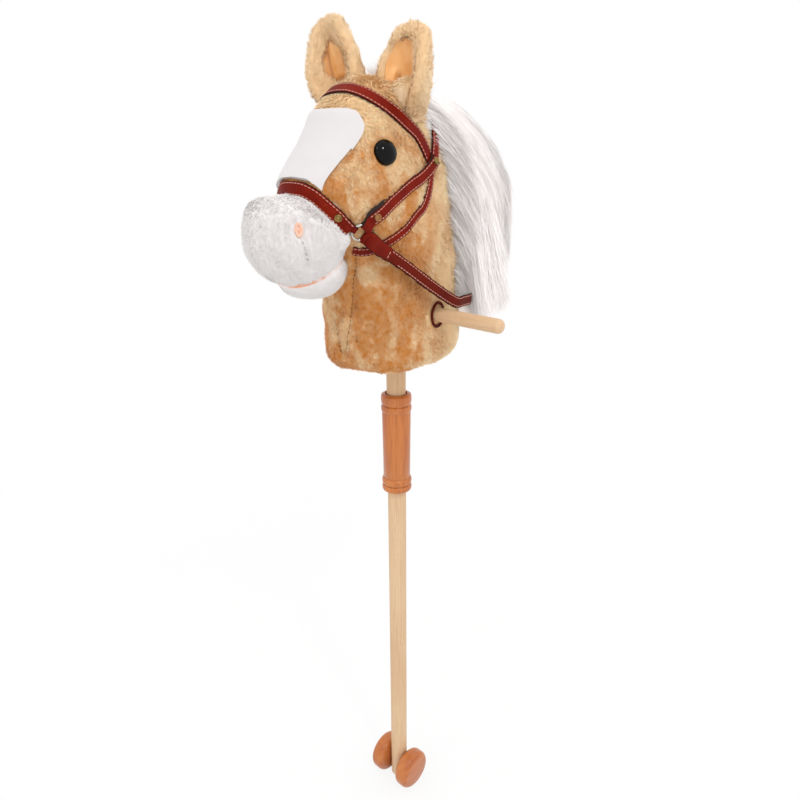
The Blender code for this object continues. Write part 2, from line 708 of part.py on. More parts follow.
def blaze():
    """A white patch that lies on the face, with rounded upper corners, a narrower foot and a lower
    edge that follows the noseband."""
    grids = ([], [])
    middle_bottom = noseband_edge(0)
    for t in steps(8):
        row_height = middle_bottom + (BLAZE_TOP - middle_bottom) * t
        over = max(0.0, 1 - (BLAZE_TOP - row_height) / BLAZE_CORNER)
        widening = (BLAZE_HALF_WIDTH - BLAZE_FOOT_HALF_WIDTH) * min(1.0, t / BLAZE_FOOT_SHARE)
        half = BLAZE_FOOT_HALF_WIDTH + widening - BLAZE_CORNER * (1 - math.sqrt(1 - over**2))
        places = []
        for u in steps(10):
            turn = turn_at(half * (2 * u - 1), row_height)
            drop = (middle_bottom - noseband_edge(turn)) * (1 - t)
            places.append((turn, row_height - drop))
        for grid, lift in zip(grids, (BLAZE_LIFT, BLAZE_LIFT + BLAZE_THICKNESS)):
            grid.append([on_body(turn, height, lift) for turn, height in places])
    add("blaze", "white_plush", slab(*grids))


def ear_grid(base, tip, facing, reach, trim):
    """A grid of points on a cupped ear, at a distance outside its inner face."""
    along = tip - base
    forward = (facing - along * facing.dot(along) / along.length_squared).normalized()
    side = along.normalized().cross(forward)
    rows = []
    for v in steps(8):
        half = EAR_WIDTH / 2 * smooth(EAR_OUTLINE, v)
        curl = math.radians(smooth(EAR_CURL, v))
        radius = half / math.sin(min(curl, math.pi / 2))
        middle = base + along * v + forward * radius
        curl -= math.radians(trim)
        angles = [curl * (2 * u - 1) for u in steps(10)]
        rows.append([middle + (side * math.sin(a) - forward * math.cos(a)) * (radius + reach)
                     for a in angles])
    return rows


def ears(body_cutter):
    lining_reach = (-EAR_LINING_GAP - EAR_LINING_THICKNESS, -EAR_LINING_GAP)
    for side, sign in SIDES:
        flip = Matrix.Diagonal((sign, 1, 1))
        base, tip = flip @ Vector(EAR_BASES[side]), flip @ Vector(EAR_TIPS[side])
        facing = flip @ Vector(EAR_FACING)
        outer = [ear_grid(base, tip, facing, reach, 0) for reach in (0, EAR_THICKNESS)]
        inner = [ear_grid(base, tip, facing, reach, EAR_LINING_TRIM) for reach in lining_reach]
        ear = add(f"ear_{side}", "tan_plush", slab(*outer))
        lining = add(f"ear_lining_{side}", "satin", slab(*inner))
        cut(ear, body_cutter)
        cut(lining, body_cutter)


def mane(body_cutter):
    """The hair behind the neck as one closed solid, and the tuft between the ears."""
    low, high = MANE_SECTIONS[0][0], MANE_SECTIONS[-1][0]
    rings = []
    for t in steps(12):
        height = low + (high - low) * t
        inner, outer, half = (smooth(MANE_SECTIONS, height, k) for k in (1, 2, 3))
        middle, depth = (inner + outer) / 2, (outer - inner) / 2
        turns = [2 * math.pi * i / 20 for i in range(20)]
        rings.append([Vector((half * math.sin(a), middle - depth * math.cos(a), height))
                      for a in turns])
    hair = add("mane", "white_hair", loft(rings), sharp=80)
    tuft = add("forelock", "white_hair", ellipsoid(FORELOCK_CENTRE, FORELOCK_HALF, 0, 16, 8))
    cut(hair, body_cutter)
    cut(tuft, body_cutter)


def rivets(name, place, outer_lift, layers, straps):
    """A rivet on each side through straps whose outer one lies at a lift. Its shank ends at the
    inner face of the last strap. straps holds what each side's rivet passes through."""
    point, out = on_body(*place, outer_lift), body_normal(*place)
    head, shank, seat = RIVET_DIAMETER / 2, RIVET_SHANK / 2, STRAP / 2 + GAP
    depth = -STRAP / 2 - (layers - 1) * (STRAP + GAP)
    outline = [(shank, depth), (shank, seat), (head, seat), (head, seat + RIVET_HEAD / 2),
               (head * 0.7, seat + RIVET_HEAD)]
    hole = [(shank + GAP, depth - STRAP), (shank + GAP, seat + STRAP)]
    for side, sign in SIDES:
        flip = Matrix.Diagonal((sign, 1, 1))
        add(f"{name}_{side}", "brass", turned(outline, SMALL_SIDES, flip @ out, flip @ point))
        drill = add(f"{name}_hole_{side}", None,
                    turned(hole, SMALL_SIDES, flip @ out, flip @ point))
        for strap in straps[side]:
            cut(strap, drill)


def pair(name, path, widths):
    """A left and a right strap from the left one's path."""
    made = {}
    for side, route in (("left", path), ("right", other_side(path))):
        made[side] = add(f"{name}_{side}", "strap", ribbon(route, widths))
    return made


def band(name, route, width):
    """A strap that crosses the middle plane."""
    path = across_middle(body_path(route))
    return add(name, "strap", ribbon(path, [width] * len(path)))


def bit_rings():
    centre, out = bit_ring_frame()
    wire = []
    for i in range(6):
        angle = 2 * math.pi * i / 6
        wire.append((RING_RADIUS + RING_WIRE / 2 * math.cos(angle),
                     RING_WIRE / 2 * math.sin(angle)))
    for side, sign in SIDES:
        flip = Matrix.Diagonal((sign, 1, 1))
        add(f"bit_ring_{side}", "steel", turned(wire, 24, flip @ out, flip @ centre, closed=True))


def bridle():
    crown = band("crown_strap", CROWN_ROUTE, CROWN_WIDTH)
    browband = band("browband", BROWBAND_ROUTE, BROWBAND_WIDTH)
    noseband = band("noseband", NOSEBAND_ROUTE, NOSEBAND_WIDTH)
    bit_rings()
    path, ring_at = looped(CHEEK_ROUTE, CHEEK_TAIL)
    cheeks = pair("cheek_strap", path, narrowed(path, CHEEK_WIDTH, LOOP_WIDTH, ring_at - 3, ring_at))
    path, ring_at = looped(KEEPER_ROUTE, KEEPER_TAIL)
    keepers = pair("ring_keeper", path, [LOOP_WIDTH] * len(path))
    path = body_path(JAW_ROUTE)
    pair("jaw_strap", path, [JAW_WIDTH] * len(path))
    rivets("crown_rivet", CROWN_RIVET_PLACE, THIRD_LAYER, 3,
           {side: (cheeks[side], crown, browband) for side in cheeks})
    rivets("cheek_rivet", CHEEK_RIVET_PLACE, SECOND_LAYER, 2,
           {side: (cheeks[side],) for side in cheeks})
    rivets("noseband_rivet", NOSEBAND_RIVET_PLACE, THIRD_LAYER, 3,
           {side: (noseband, keepers[side]) for side in keepers})


def rein():
    """One strap from ring to ring, which rests on the handle and passes behind the neck."""
    line = through(REIN_ROUTE, 4)
    run = []
    for i, point in enumerate(line):
        along = line[min(i + 1, len(line) - 1)] - line[max(i - 1, 0)]
        flat = Vector((along.y, -along.x, 0)).normalized()
        run.append((point, flat if i else Vector((0, 1, 0))))
    run = [(point, out if out.dot(Vector((point.x, max(point.y, 0), 0))) > 0 else -out)
           for point, out in run]
    loop = round_ring(line[-1], REIN_LOOP_WIDTH)
    spoke = ring_spoke(line[-1])
    under = [(loop[-1][0] + spoke * REIN_TAIL * t, loop[-1][1]) for t in steps(2)[1:]]
    half = run + loop + under
    widths = narrowed(half, REIN_START_WIDTH, REIN_LOOP_WIDTH, len(run) - 2, len(run))
    for i, point in enumerate(line):
        if (point - line[-1]).length > REIN_START:
            widths[i] = REIN_WIDTH
    add("rein", "strap", ribbon(across_middle(half), widths[:0:-1] + widths))


def slots():
    """Oval leather trims on the neck where the handle comes out."""
    widest = max(body_section(height)[2] for height in (-SLOT_OUTER[1], 0, SLOT_OUTER[1]))
    low, high = widest + GAP, widest + GAP + SLOT_THICKNESS
    for side, sign in SIDES:
        rings = []
        for half, x in ((SLOT_INNER, low), (SLOT_OUTER, low), (SLOT_OUTER, high),
                        (SLOT_INNER, high)):
            angles = [2 * math.pi * i / 24 for i in range(24)]
            rings.append([Vector((sign * x, half[0] * math.cos(a), half[1] * math.sin(a)))
                          for a in angles])
        add(f"handle_slot_{side}", "strap", loft(rings, closed=True))


def build():
    clear_scene()
    handle_bore = poles()
    handle()
    wheels()
    grip()
    body_cutter = neck_and_head(handle_bore, eyes())
    face(body_cutter)
    blaze()
    ears(body_cutter)
    mane(body_cutter)
    slots()
    bridle()
    rein()


build()
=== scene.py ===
"""Looks of the hobby horse: plush pile, hair, stitched straps, turned wood, light and camera.

Metres, +Z up: the origin is where the pole's axis crosses the handle's axis, the horse looks
along -Y, and its left side is +X. A turn is an angle in degrees round the plush body, from the
front towards the left."""

import math

import bpy
import numpy as np
from mathutils import Matrix, Vector
from mathutils.kdtree import KDTree


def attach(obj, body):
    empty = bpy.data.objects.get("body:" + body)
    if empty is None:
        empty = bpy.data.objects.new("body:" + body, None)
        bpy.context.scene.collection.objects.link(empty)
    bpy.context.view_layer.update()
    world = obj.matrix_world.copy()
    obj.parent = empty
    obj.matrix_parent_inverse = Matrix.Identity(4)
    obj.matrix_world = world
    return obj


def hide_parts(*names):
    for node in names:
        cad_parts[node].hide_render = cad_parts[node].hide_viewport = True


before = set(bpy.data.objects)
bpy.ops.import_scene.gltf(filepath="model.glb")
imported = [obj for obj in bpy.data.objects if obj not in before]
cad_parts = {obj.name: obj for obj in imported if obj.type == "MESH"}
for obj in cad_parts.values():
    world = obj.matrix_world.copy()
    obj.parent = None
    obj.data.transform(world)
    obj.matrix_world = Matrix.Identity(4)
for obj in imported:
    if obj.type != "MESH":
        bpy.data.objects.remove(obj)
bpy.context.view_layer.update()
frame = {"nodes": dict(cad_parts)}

# Sizes that the construction gives
GAP = 0.0003
PILE = 0.0008
POLE_DIAMETER = 0.021
POLE_ABOVE_HANDLE = 0.115
POLE_END_ROUNDING = 0.0015
HANDLE_DIAMETER = 0.014
HANDLE_LENGTH = 0.263
HANDLE_END_ROUNDING = 0.005
FLOOR_HEIGHT = -0.664
WHEEL_DIAMETER = 0.050
WHEEL_WIDTH = 0.020
WHEEL_ROUNDING = 0.007
WHEEL_CROWN = 0.0008
WHEEL_PLAY = 0.0006
AXLE_DIAMETER = 0.006
AXLE_DEPTH_IN_WHEEL = 0.013
AXLE_HEIGHT = FLOOR_HEIGHT + WHEEL_DIAMETER / 2
POLE_FOOT = AXLE_HEIGHT - 0.021
GRIP_TOP = -0.0955
GRIP_LENGTH = 0.118
POLE_JOINT = GRIP_TOP - 0.060
GRIP_DIAMETER = 0.0318
GRIP_FOOT_DIAMETER = 0.0304
BEAD_DIAMETER = 0.0338
BEAD_HEIGHTS = (0.0130, 0.0085)
FOOT_BEAD_HEIGHTS = (0.0085, 0.0080)
GROOVE_DEPTH = 0.0010
GRIP_RECESS_DIAMETER = 0.0240
GRIP_RECESS_DEPTH = 0.0030
GRIP_FOOT_ROUNDING = 0.0050
GRIP_LIP = 0.0006

# Plush body: height, front, back and half width
BODY_SECTIONS = (
    (-0.036, -0.077, 0.071, 0.0550),
    (0.006, -0.0785, 0.071, 0.0540),
    (0.050, -0.086, 0.070, 0.0530),
    (0.078, -0.104, 0.068, 0.0540),
    (0.100, -0.122, 0.066, 0.0545),
    (0.122, -0.127, 0.063, 0.0530),
    (0.140, -0.115, 0.056, 0.0515),
    (0.157, -0.100, 0.046, 0.0485),
    (0.175, -0.089, 0.036, 0.0440),
    (0.193, -0.082, 0.025, 0.0410),
    (0.213, -0.076, 0.013, 0.0380),
)
BODY_SQUARENESS = 2.35
NECK_BOTTOM = -0.052
NECK_BOTTOM_ROUNDING = 0.016
HEAD_DOME_START = 0.175
HEAD_TOP = 0.213
MUZZLE_CENTRE = np.array((0, -0.129, 0.082))
MUZZLE_HALF = np.array((0.0430, 0.0430, 0.0400))
CHIN_CENTRE = np.array((0, -0.113, 0.053))
CHIN_HALF = np.array((0.0300, 0.0320, 0.0250))
LIP_THICKNESS = 0.0025
LIP_PROUD = 0.0015
NOSTRIL_TURN = 56
NOSTRIL_RISE = 17
NOSTRIL_HALF = (0.0034, 0.0060, 0.0018)
MUZZLE_CREASE_FOOT = np.array((0.0378, -0.1458, 0.0640))
BLAZE_HALF_WIDTH = 0.034
BLAZE_FOOT_HALF_WIDTH = 0.0265
BLAZE_FOOT_SHARE = 0.85
BLAZE_TOP = 0.183
BLAZE_CORNER = 0.014
BLAZE_THICKNESS = 0.0016
BLAZE_LIFT = PILE + 0.0014
BLAZE_ABOVE_NOSEBAND = 0.0009
EYE_PLACE = (67, 0.150)
EYE_DIAMETER = 0.0215
EYE_DOME = 0.0065
EYE_SEAT = 0.0018
EYE_STEM_DIAMETER = 0.005
EYE_STEM_LENGTH = 0.015

# Ears: where their middles stand and end, half widths and curls by the share of the way up, and
# where each lining shows, as the first and last share across and the low and high share up
EAR_BASES = {"left": (0.036, -0.012, 0.182), "right": (0.037, -0.010, 0.184)}
EAR_TIPS = {"left": (0.047, -0.023, 0.2495), "right": (0.058, -0.027, 0.264)}
EAR_WIDTH = 0.047
EAR_THICKNESS = 0.0060
EAR_LINING_THICKNESS = 0.0012
EAR_LINING_GAP = 0.0007
EAR_OUTLINE = ((0, 0.34), (0.10, 0.50), (0.20, 0.70), (0.36, 0.95), (0.52, 0.98), (0.78, 0.72),
               (0.92, 0.50), (1, 0.26))
EAR_CURL = ((0, 100), (0.35, 80), (0.70, 62), (1, 40))
EAR_FACING = (-0.12, -1.0, 0.1)
EAR_RIM_RISE = 0.0062
EAR_WINDOWS = {"left": (-1.15, 0.34, 0.30, 0.85), "right": (-0.62, 0.50, 0.40, 0.76)}

# Mane: height, distances behind of its inner and outer face, and half width
MANE_SECTIONS = (
    (-0.042, 0.100, 0.132, 0.018),
    (-0.028, 0.090, 0.152, 0.027),
    (0.000, 0.087, 0.174, 0.033),
    (0.020, 0.087, 0.180, 0.035),
    (0.050, 0.060, 0.185, 0.037),
    (0.100, 0.050, 0.183, 0.037),
    (0.150, 0.030, 0.155, 0.034),
    (0.185, 0.018, 0.106, 0.028),
    (0.199, 0.014, 0.076, 0.018),
)

# Bridle and rein. A place on the skin is a turn and a height, and a route's points add a lift
STRAP = 0.0016
BROWBAND_WIDTH = 0.012
CROWN_WIDTH = 0.011
CHEEK_WIDTH = 0.0105
CHEEK_END_WIDTH = 0.0098
JAW_WIDTH = 0.0085
NOSEBAND_WIDTH = 0.012
REIN_WIDTH = 0.0105
REIN_START_WIDTH = 0.0120
REIN_TAB_WIDTH = 0.0132
LOOP_WIDTH = 0.0056
REIN_LOOP_WIDTH = 0.0062
RING_PLACE = (44.4, 0.0878)
RING_RADIUS = 0.0072
RING_WIRE = 0.0020
FIRST_LAYER = PILE + STRAP / 2
SECOND_LAYER = FIRST_LAYER + STRAP + GAP
THIRD_LAYER = SECOND_LAYER + STRAP + GAP
RING_LIFT = FIRST_LAYER + STRAP / 2 + GAP + RING_WIRE / 2
OVER_KEEPER = THIRD_LAYER + 0.0020
BROWBAND_ROUTE = (
    (0, 0.2005, FIRST_LAYER), (20, 0.1995, FIRST_LAYER), (42, 0.1955, FIRST_LAYER),
    (62, 0.1885, FIRST_LAYER), (78, 0.1790, FIRST_LAYER), (89, 0.1685, FIRST_LAYER),
    (95, 0.1570, FIRST_LAYER), (100, 0.1430, FIRST_LAYER),
)
CROWN_ROUTE = (
    (180, 0.2030, FIRST_LAYER), (150, 0.1980, FIRST_LAYER), (124, 0.1820, FIRST_LAYER),
    (113, 0.1680, SECOND_LAYER), (107, 0.1540, SECOND_LAYER), (102, 0.1400, SECOND_LAYER),
)
JAW_ROUTE = (
    (101, 0.1345, FIRST_LAYER), (99, 0.1210, FIRST_LAYER), (92, 0.1030, FIRST_LAYER),
    (81, 0.0890, FIRST_LAYER), (69, 0.0805, FIRST_LAYER), (59, 0.0755, FIRST_LAYER),
    (45, 0.0700, FIRST_LAYER), (36, 0.0692, FIRST_LAYER), (30, 0.0705, FIRST_LAYER),
)
NOSEBAND_ROUTE = (
    (0, 0.1225, FIRST_LAYER), (10, 0.1215, FIRST_LAYER), (19.5, 0.1168, FIRST_LAYER),
    (26, 0.1112, SECOND_LAYER), (31, 0.1055, THIRD_LAYER), (35.5, 0.0987, THIRD_LAYER),
    (39.2, 0.0923, OVER_KEEPER),
)
CHEEK_ROUTE = (
    (103.5, 0.1430, THIRD_LAYER), (99, 0.1375, THIRD_LAYER), (92, 0.1280, SECOND_LAYER),
    (84, 0.1190, FIRST_LAYER), (73, 0.1090, FIRST_LAYER), (64, 0.1015, SECOND_LAYER),
    (55, 0.0957, SECOND_LAYER),
)
KEEPER_ROUTE = ((31, 0.1055, SECOND_LAYER), (36.5, 0.0975, SECOND_LAYER))
CHEEK_TAIL = ((57, 0.0962), (64, 0.1015))
KEEPER_TAIL = ((36.5, 0.0975), (31, 0.1055))
CROWN_RIVET_PLACE = (101.5, 0.1415)
CHEEK_RIVET_PLACE = (60.5, 0.0990)
NOSEBAND_RIVET_PLACE = (34.2, 0.1010)
RIVET_DIAMETER = 0.0066
RIVET_HEAD = 0.0012
RIVET_SHANK = 0.0026

# The rein's left half, from behind the neck to the ring: x, y and z
REIN_ROUTE = (
    (0.0000, 0.0795, 0.0060),
    (0.0280, 0.0770, 0.0065),
    (0.0510, 0.0630, 0.0080),
    (0.0650, 0.0420, 0.0100),
    (0.0725, 0.0200, 0.0128),
    (0.0735, 0.0040, 0.0150),
    (0.0680, -0.0240, 0.0330),
    (0.0600, -0.0550, 0.0560),
    (0.0530, -0.0812, 0.0742),
)
REIN_TAIL = 0.005
REIN_TAIL_SINK = 0.0034
REIN_START = 0.014
SLOT_OUTER = (0.0105, 0.0135)
SLOT_INNER = (0.0078, 0.0100)
SLOT_THICKNESS = 0.0022

# How the straps are made up: a leather face on a dark backing, stitched along both edges
LEATHER_SHARE = 0.68
BACKING_OVERHANG = 0.0007
CHEEK_BACKING_SLIP = 0.0030
STITCH_INSET = 0.0015
STITCH_PITCH = 0.0036
STITCH_LENGTH = 0.0028
STITCH_RADIUS = 0.00033

# Seams of the plush, each point a turn and a height
NECK_SEAM = ((29.6, 0.0658), (24, 0.052), (18.3, 0.0386), (12, 0.013), (5.8, -0.0131), (2, -0.034))
CHEEK_SEAM = ((50.7, 0.1405), (51.5, 0.126), (52, 0.1108))
SEAM_REACH = 0.003
NECK_STITCHES = {"pitch": 0.0042, "length": 0.0026, "radius": 0.00035}
MUZZLE_STITCHES = {"start": 0.006, "pitch": 0.0046, "length": 0.0028, "radius": 0.0003}
NECK_HOLE_RADIUS = 0.0114
NECK_HOLE_RISE = 0.004
STRAP_SINK = 0.0007

# Pile: blades to a square metre, their length, and how they are combed and drawn together
BODY_PILE = {"per_square": 1.8e6, "length": 0.0040, "comb": (0, 0.25, -1), "clump": 20,
             "pull": 0.75}
MUZZLE_PILE = {"per_square": 1.6e6, "length": 0.0030, "comb": (0, 0.4, -1), "lean": 2.0,
               "stray": 0.25, "pull": 0.3}
CHIN_PILE = {"per_square": 1.6e6, "length": 0.0026, "lean": 2.0, "stray": 0.25, "pull": 0.3}
EAR_PILE = {"per_square": 1.9e6, "length": 0.0042, "comb": (0, 0.2, 1), "lean": 1.4, "clump": 20,
            "pull": 0.75}
EAR_ROOT_PILE = {"per_square": 2.2e6, "length": 0.0060, "lean": 0.9}
BLADE_WIDTH = 0.00042
BLADES_IN_A_PIECE = 62000
EAR_ROOT_CENTRE = (0.038, -0.025, 0.197)
EAR_ROOT_HALF = np.array((0.013, 0.009, 0.011))

# Hair: how wide a strand is, and how many there are in each layer, side or tuft
HAIR_WIDTH = 0.0005
HAIRS_IN_A_LOCK = 20
MANE_HAIRS = 8800
CREST_HAIRS = 8000
REIN_COVER_HAIRS = 5500
TUFT_HAIRS = 7000
MANE_ROOT_HEIGHTS = (-0.012, 0.197)
CREST_ROOT_HEIGHTS = (0.010, 0.192)
CREST_ROOT_TURNS = (104, 166)
REIN_COVER_ROOT_HEIGHTS = (0.030, 0.110)
TUFT_ROOT_HEIGHTS = (0.194, 0.206)

# Where painted light and painted shade change colours: heights, and a distance from front to back
PAINTED_LIGHT_TOP = (0.145, 0.18)
PAINTED_LIGHT_BACK = (-0.035, 0.02)
LOW_STRAP_SHADE = (0.055, 0.085)

# Light: each lamp's place, size and power, and the strength of the even light all round
LAMPS = (("key_lamp", (-0.35, -1.25, 1.25), 0.14, 2.0),
         ("side_lamp", (0.94, -0.38, 1.05), 0.165, 4.6))
EVEN_LIGHT = 1.07
FLOOR_REACH = 6.0
FLOOR_FADE = (0.25, 1.3)

SIDES = (("left", 1), ("right", -1))
MIRROR = np.array((-1.0, 1.0, 1.0))
UP = np.array((0.0, 0.0, 1.0))
LEFT = np.array((1.0, 0.0, 0.0))


def flip_of(sign):
    """What a point on the left is multiplied by to lie on the side of a sign."""
    return np.array((sign, 1, 1))


def hue(code):
    """A colour written as six hexadecimal digits, as linear red, green and blue."""
    parts = [int(code[i:i + 2], 16) / 255 for i in (0, 2, 4)]
    return tuple(p / 12.92 if p <= 0.04045 else ((p + 0.055) / 1.055) ** 2.4 for p in parts)


class Value:
    """An output of a node, which Python's operators join to Math nodes."""

    def __init__(self, nodes, socket):
        self.nodes = nodes
        self.socket = socket

    def maths(self, operation, first, second):
        return self.nodes.node("Math", {"operation": operation}, {0: first, 1: second})

    def __add__(self, other):
        return self.maths("ADD", self, other)

    def __sub__(self, other):
        return self.maths("SUBTRACT", self, other)

    def __rsub__(self, other):
        return self.maths("SUBTRACT", other, self)

    def __mul__(self, other):
        return self.maths("MULTIPLY", self, other)

    __radd__ = __add__
    __rmul__ = __mul__


class Nodes:
    """A node tree, with one method that adds any node."""

    def __init__(self, tree):
        self.tree = tree

    def node(self, kind, settings, sockets, output=0):
        """Any node, by its type, its settings and the values or links of its sockets."""
        made = self.tree.nodes.new("ShaderNode" + kind)
        for key, value in settings.items():
            setattr(made, key, value)
        for key, value in sockets.items():
            self.join(made.inputs[key], value)
        return Value(self, made.outputs[output]) if made.outputs else made

    def join(self, socket, value):
        """Gives a socket a link, a colour or a number."""
        if isinstance(value, Value):
            self.tree.links.new(value.socket, socket)
        elif socket.type == "RGBA":
            socket.default_value = (*value, 1)
        else:
            socket.default_value = value

    def place(self, stretch=(1, 1, 1)):
        """A point of the piece, in metres, with each axis stretched."""
        point = self.node("TexCoord", {}, {}, "Object")
        return self.node("VectorMath", {"operation": "MULTIPLY"}, {0: point, 1: stretch})

    def coordinate(self, axis):
        """One coordinate of a point of the piece: x, y or z for 0, 1 or 2."""
        return self.node("SeparateXYZ", {}, {0: self.place()}, axis)

    def noise(self, scale, detail=2, stretch=(1, 1, 1), roughness=0.5, warp=0):
        return self.node("TexNoise", {}, {
            "Vector": self.place(stretch), "Scale": scale, "Detail": detail,
            "Roughness": roughness, "Distortion": warp})

    def between(self, value, low, high):
        """0 where value is under low, 1 where it is over high, and a smooth rise between them."""
        return self.node("MapRange", {"interpolation_type": "SMOOTHSTEP"},
                         {"Value": value, "From Min": low, "From Max": high})

    def mix(self, factor, a, b):
        """A colour from a at 0 to b at 1."""
        return self.node("Mix", {"data_type": "RGBA"}, {0: factor, 6: a, 7: b}, 2)

    def number(self, name):
        """A number that the mesh stores at its points."""
        return self.node("Attribute", {"attribute_name": name}, {}, "Fac")


class Finish(Nodes):
    """A material with one shader, whose sockets are set by name."""

    def __init__(self, name):
        self.material = bpy.data.materials.new(name)
        self.material.use_nodes = True
        super().__init__(self.material.node_tree)
        self.shader = self.tree.nodes["Principled BSDF"]

    def set(self, **sockets):
        """Sets the shader's sockets, with an underscore for each space in a socket's name."""
        for key, value in sockets.items():
            self.join(self.shader.inputs[key.replace("_", " ")], value)
        return self

    def bump(self, height, distance, strength=1.0):
        bumped = self.node("Bump", {}, {"Height": height, "Distance": distance,
                                        "Strength": strength})
        return self.set(Normal=bumped)


def grain(share, along, across):
    """How a pattern's axes are stretched so that it runs long with the grain."""
    return [share * a + b for a, b in zip(along, across)]


def beech(name, along, across):
    """Bare sanded dowel: fine streaks and pores along the grain."""
    f = Finish(name)
    broad = f.noise(14, 3, grain(0.25, along, across), 0.6)
    streaks = f.noise(900, 3, grain(0.022, along, across), 0.65)
    flecks = f.noise(2600, 1, grain(0.05, along, across))
    wood = f.mix(f.between(broad, 0.3, 0.7), hue("DFC09B"), hue("D0AA81"))
    wood = f.mix(f.between(streaks, 0.42, 0.72) * 0.42, wood, hue("B98D5C"))
    wood = f.mix(f.between(flecks, 0.66, 0.74) * 0.4, wood, hue("9C7144"))
    f.bump(streaks * 0.6 + flecks * 0.4, 0.00012)
    return f.set(Base_Color=wood, Roughness=0.46 + 0.14 * streaks, Coat_Weight=0.08 * broad,
                 Coat_Roughness=0.25)


def varnished(name, along, across):
    """Turned wood under a glossy orange-brown varnish."""
    f = Finish(name)
    broad = f.noise(26, 3, grain(0.2, along, across), 0.6, 0.3)
    streaks = f.noise(700, 3, grain(0.03, along, across), 0.65)
    wood = f.mix(f.between(broad, 0.32, 0.7), hue("CB7C3C"), hue("AE5C2A"))
    wood = f.mix(f.between(streaks, 0.4, 0.75) * 0.5, wood, hue("8E4620"))
    f.bump(streaks, 0.00006)
    return f.set(Base_Color=wood, Roughness=0.3 + 0.12 * streaks, Coat_Weight=0.35 + 0.2 * broad,
                 Coat_Roughness=0.08, Specular_IOR_Level=0.3)


def plush(name, pale, gold, root, glow=0.03):
    """Short pile: pale tips, golden patches, and roots painted browner as shade within the pile."""
    f = Finish(name)
    # Painted light: the pile has less gold, so it is paler, towards the top of the head and the
    # back of the neck.
    gold_under_painted_light = 1 - f.between(f.coordinate(2), *PAINTED_LIGHT_TOP) * 0.75
    gold_under_painted_light = gold_under_painted_light * (1 - f.between(f.coordinate(1), *PAINTED_LIGHT_BACK) * 0.7)
    patches = f.between(f.noise(34, 4, (1, 1, 0.8), 0.62, 0.3), 0.40, 0.56)
    spots = f.between(f.noise(150, 2, roughness=0.6), 0.38, 0.70)
    flecks = f.between(f.noise(480, 2), 0.42, 0.68)
    tip = f.number("tip")
    lock = f.between(f.number("lock"), 0.3, 1.0)
    share = patches * 0.60 + spots * 0.20 + flecks * 0.10 + lock * 0.14 + 0.08
    colour = f.mix(share * gold_under_painted_light, pale, gold)
    # Painted shade: the roots are mixed towards a browner colour, standing in for the shade deep in
    # the pile.
    colour = f.mix(0.35 - 0.35 * f.between(tip, 0.0, 0.5), colour, root)
    # The emission is painted light: a faint warm glow standing in for light scattered through the
    # pile.
    return f.set(Base_Color=colour, Roughness=0.82 + 0.1 * spots, Sheen_Weight=0.25,
                 Sheen_Roughness=0.5, Specular_IOR_Level=0.2, Emission_Color=(1.0, 0.7, 0.4),
                 Emission_Strength=glow)


def white_plush(name, white, shade):
    """White pile, painted a little greyer at its roots as shade within the pile."""
    f = Finish(name)
    drifts = f.between(f.noise(45, 2), 0.4, 0.7)
    tip = f.number("tip")
    colour = f.mix(drifts * 0.25 + f.number("lock") * 0.2, white, shade)
    # Painted shade: the roots are mixed towards the shade colour.
    colour = f.mix(0.25 - 0.25 * f.between(tip, 0.0, 0.5), colour, shade)
    f.bump(f.noise(700, 3, roughness=0.7), 0.0001, 0.5)
    # The emission is painted light: a faint glow standing in for light passing through the white
    # pile.
    return f.set(Base_Color=colour, Roughness=0.85 + 0.1 * drifts, Sheen_Weight=0.2,
                 Sheen_Roughness=0.5, Specular_IOR_Level=0.2, Emission_Color=(1.0, 0.97, 0.96),
                 Emission_Strength=0.065)


def hair(name, glow=0.05):
    """Long silky white hair."""
    f = Finish(name)
    strands = f.noise(420, 2, (1, 1, 0.08), 0.6)
    colour = f.mix(f.number("lock") * 0.35 + strands * 0.25, hue("FFFDFC"), hue("EFE8E6"))
    f.bump(strands, 0.0004, 0.5)
    # The emission is painted light: a glow standing in for light passing through the hair.
    return f.set(Base_Color=colour, Roughness=0.55 + 0.2 * strands, Sheen_Weight=0.2,
                 Specular_IOR_Level=0.3, Emission_Color=(1.0, 0.97, 0.96), Emission_Strength=glow)


def satin(name):
    """Smooth peach lining with a fine weave."""
    f = Finish(name)
    soft = f.noise(60, 2)
    weave = f.noise(2600, 1, (1, 1, 0.12))
    crease = f.number("crease")
    colour = f.mix(f.between(soft, 0.35, 0.7), hue("F0B878"), hue("E3A05A"))
    # Painted shade: darker in the lining's creases and where it tucks under the padded rim.
    colour = f.mix(crease * 0.75, colour, hue("A8602C"))
    f.bump(weave, 0.00005)
    return f.set(Base_Color=colour, Roughness=0.34 + 0.12 * weave, Sheen_Weight=0.3,
                 Sheen_Roughness=0.4)


def felt(name, colour, shade):
    """Fibrous cloth that fades to white, or takes painted shade, where the mesh says so."""
    f = Finish(name)
    fibres = f.noise(1800, 3, roughness=0.7)
    drift = f.noise(220, 2)
    paint = f.mix(f.between(fibres, 0.35, 0.7) * 0.5 + drift * 0.4, colour, shade)
    paint = f.mix(f.number("fade"), paint, hue("FBF6F5"))
    paint = f.mix(f.number("dark"), paint, hue("8A4A38"))
    f.bump(fibres, 0.0002)
    return f.set(Base_Color=paint, Roughness=0.85 + 0.1 * fibres, Sheen_Weight=0.3)


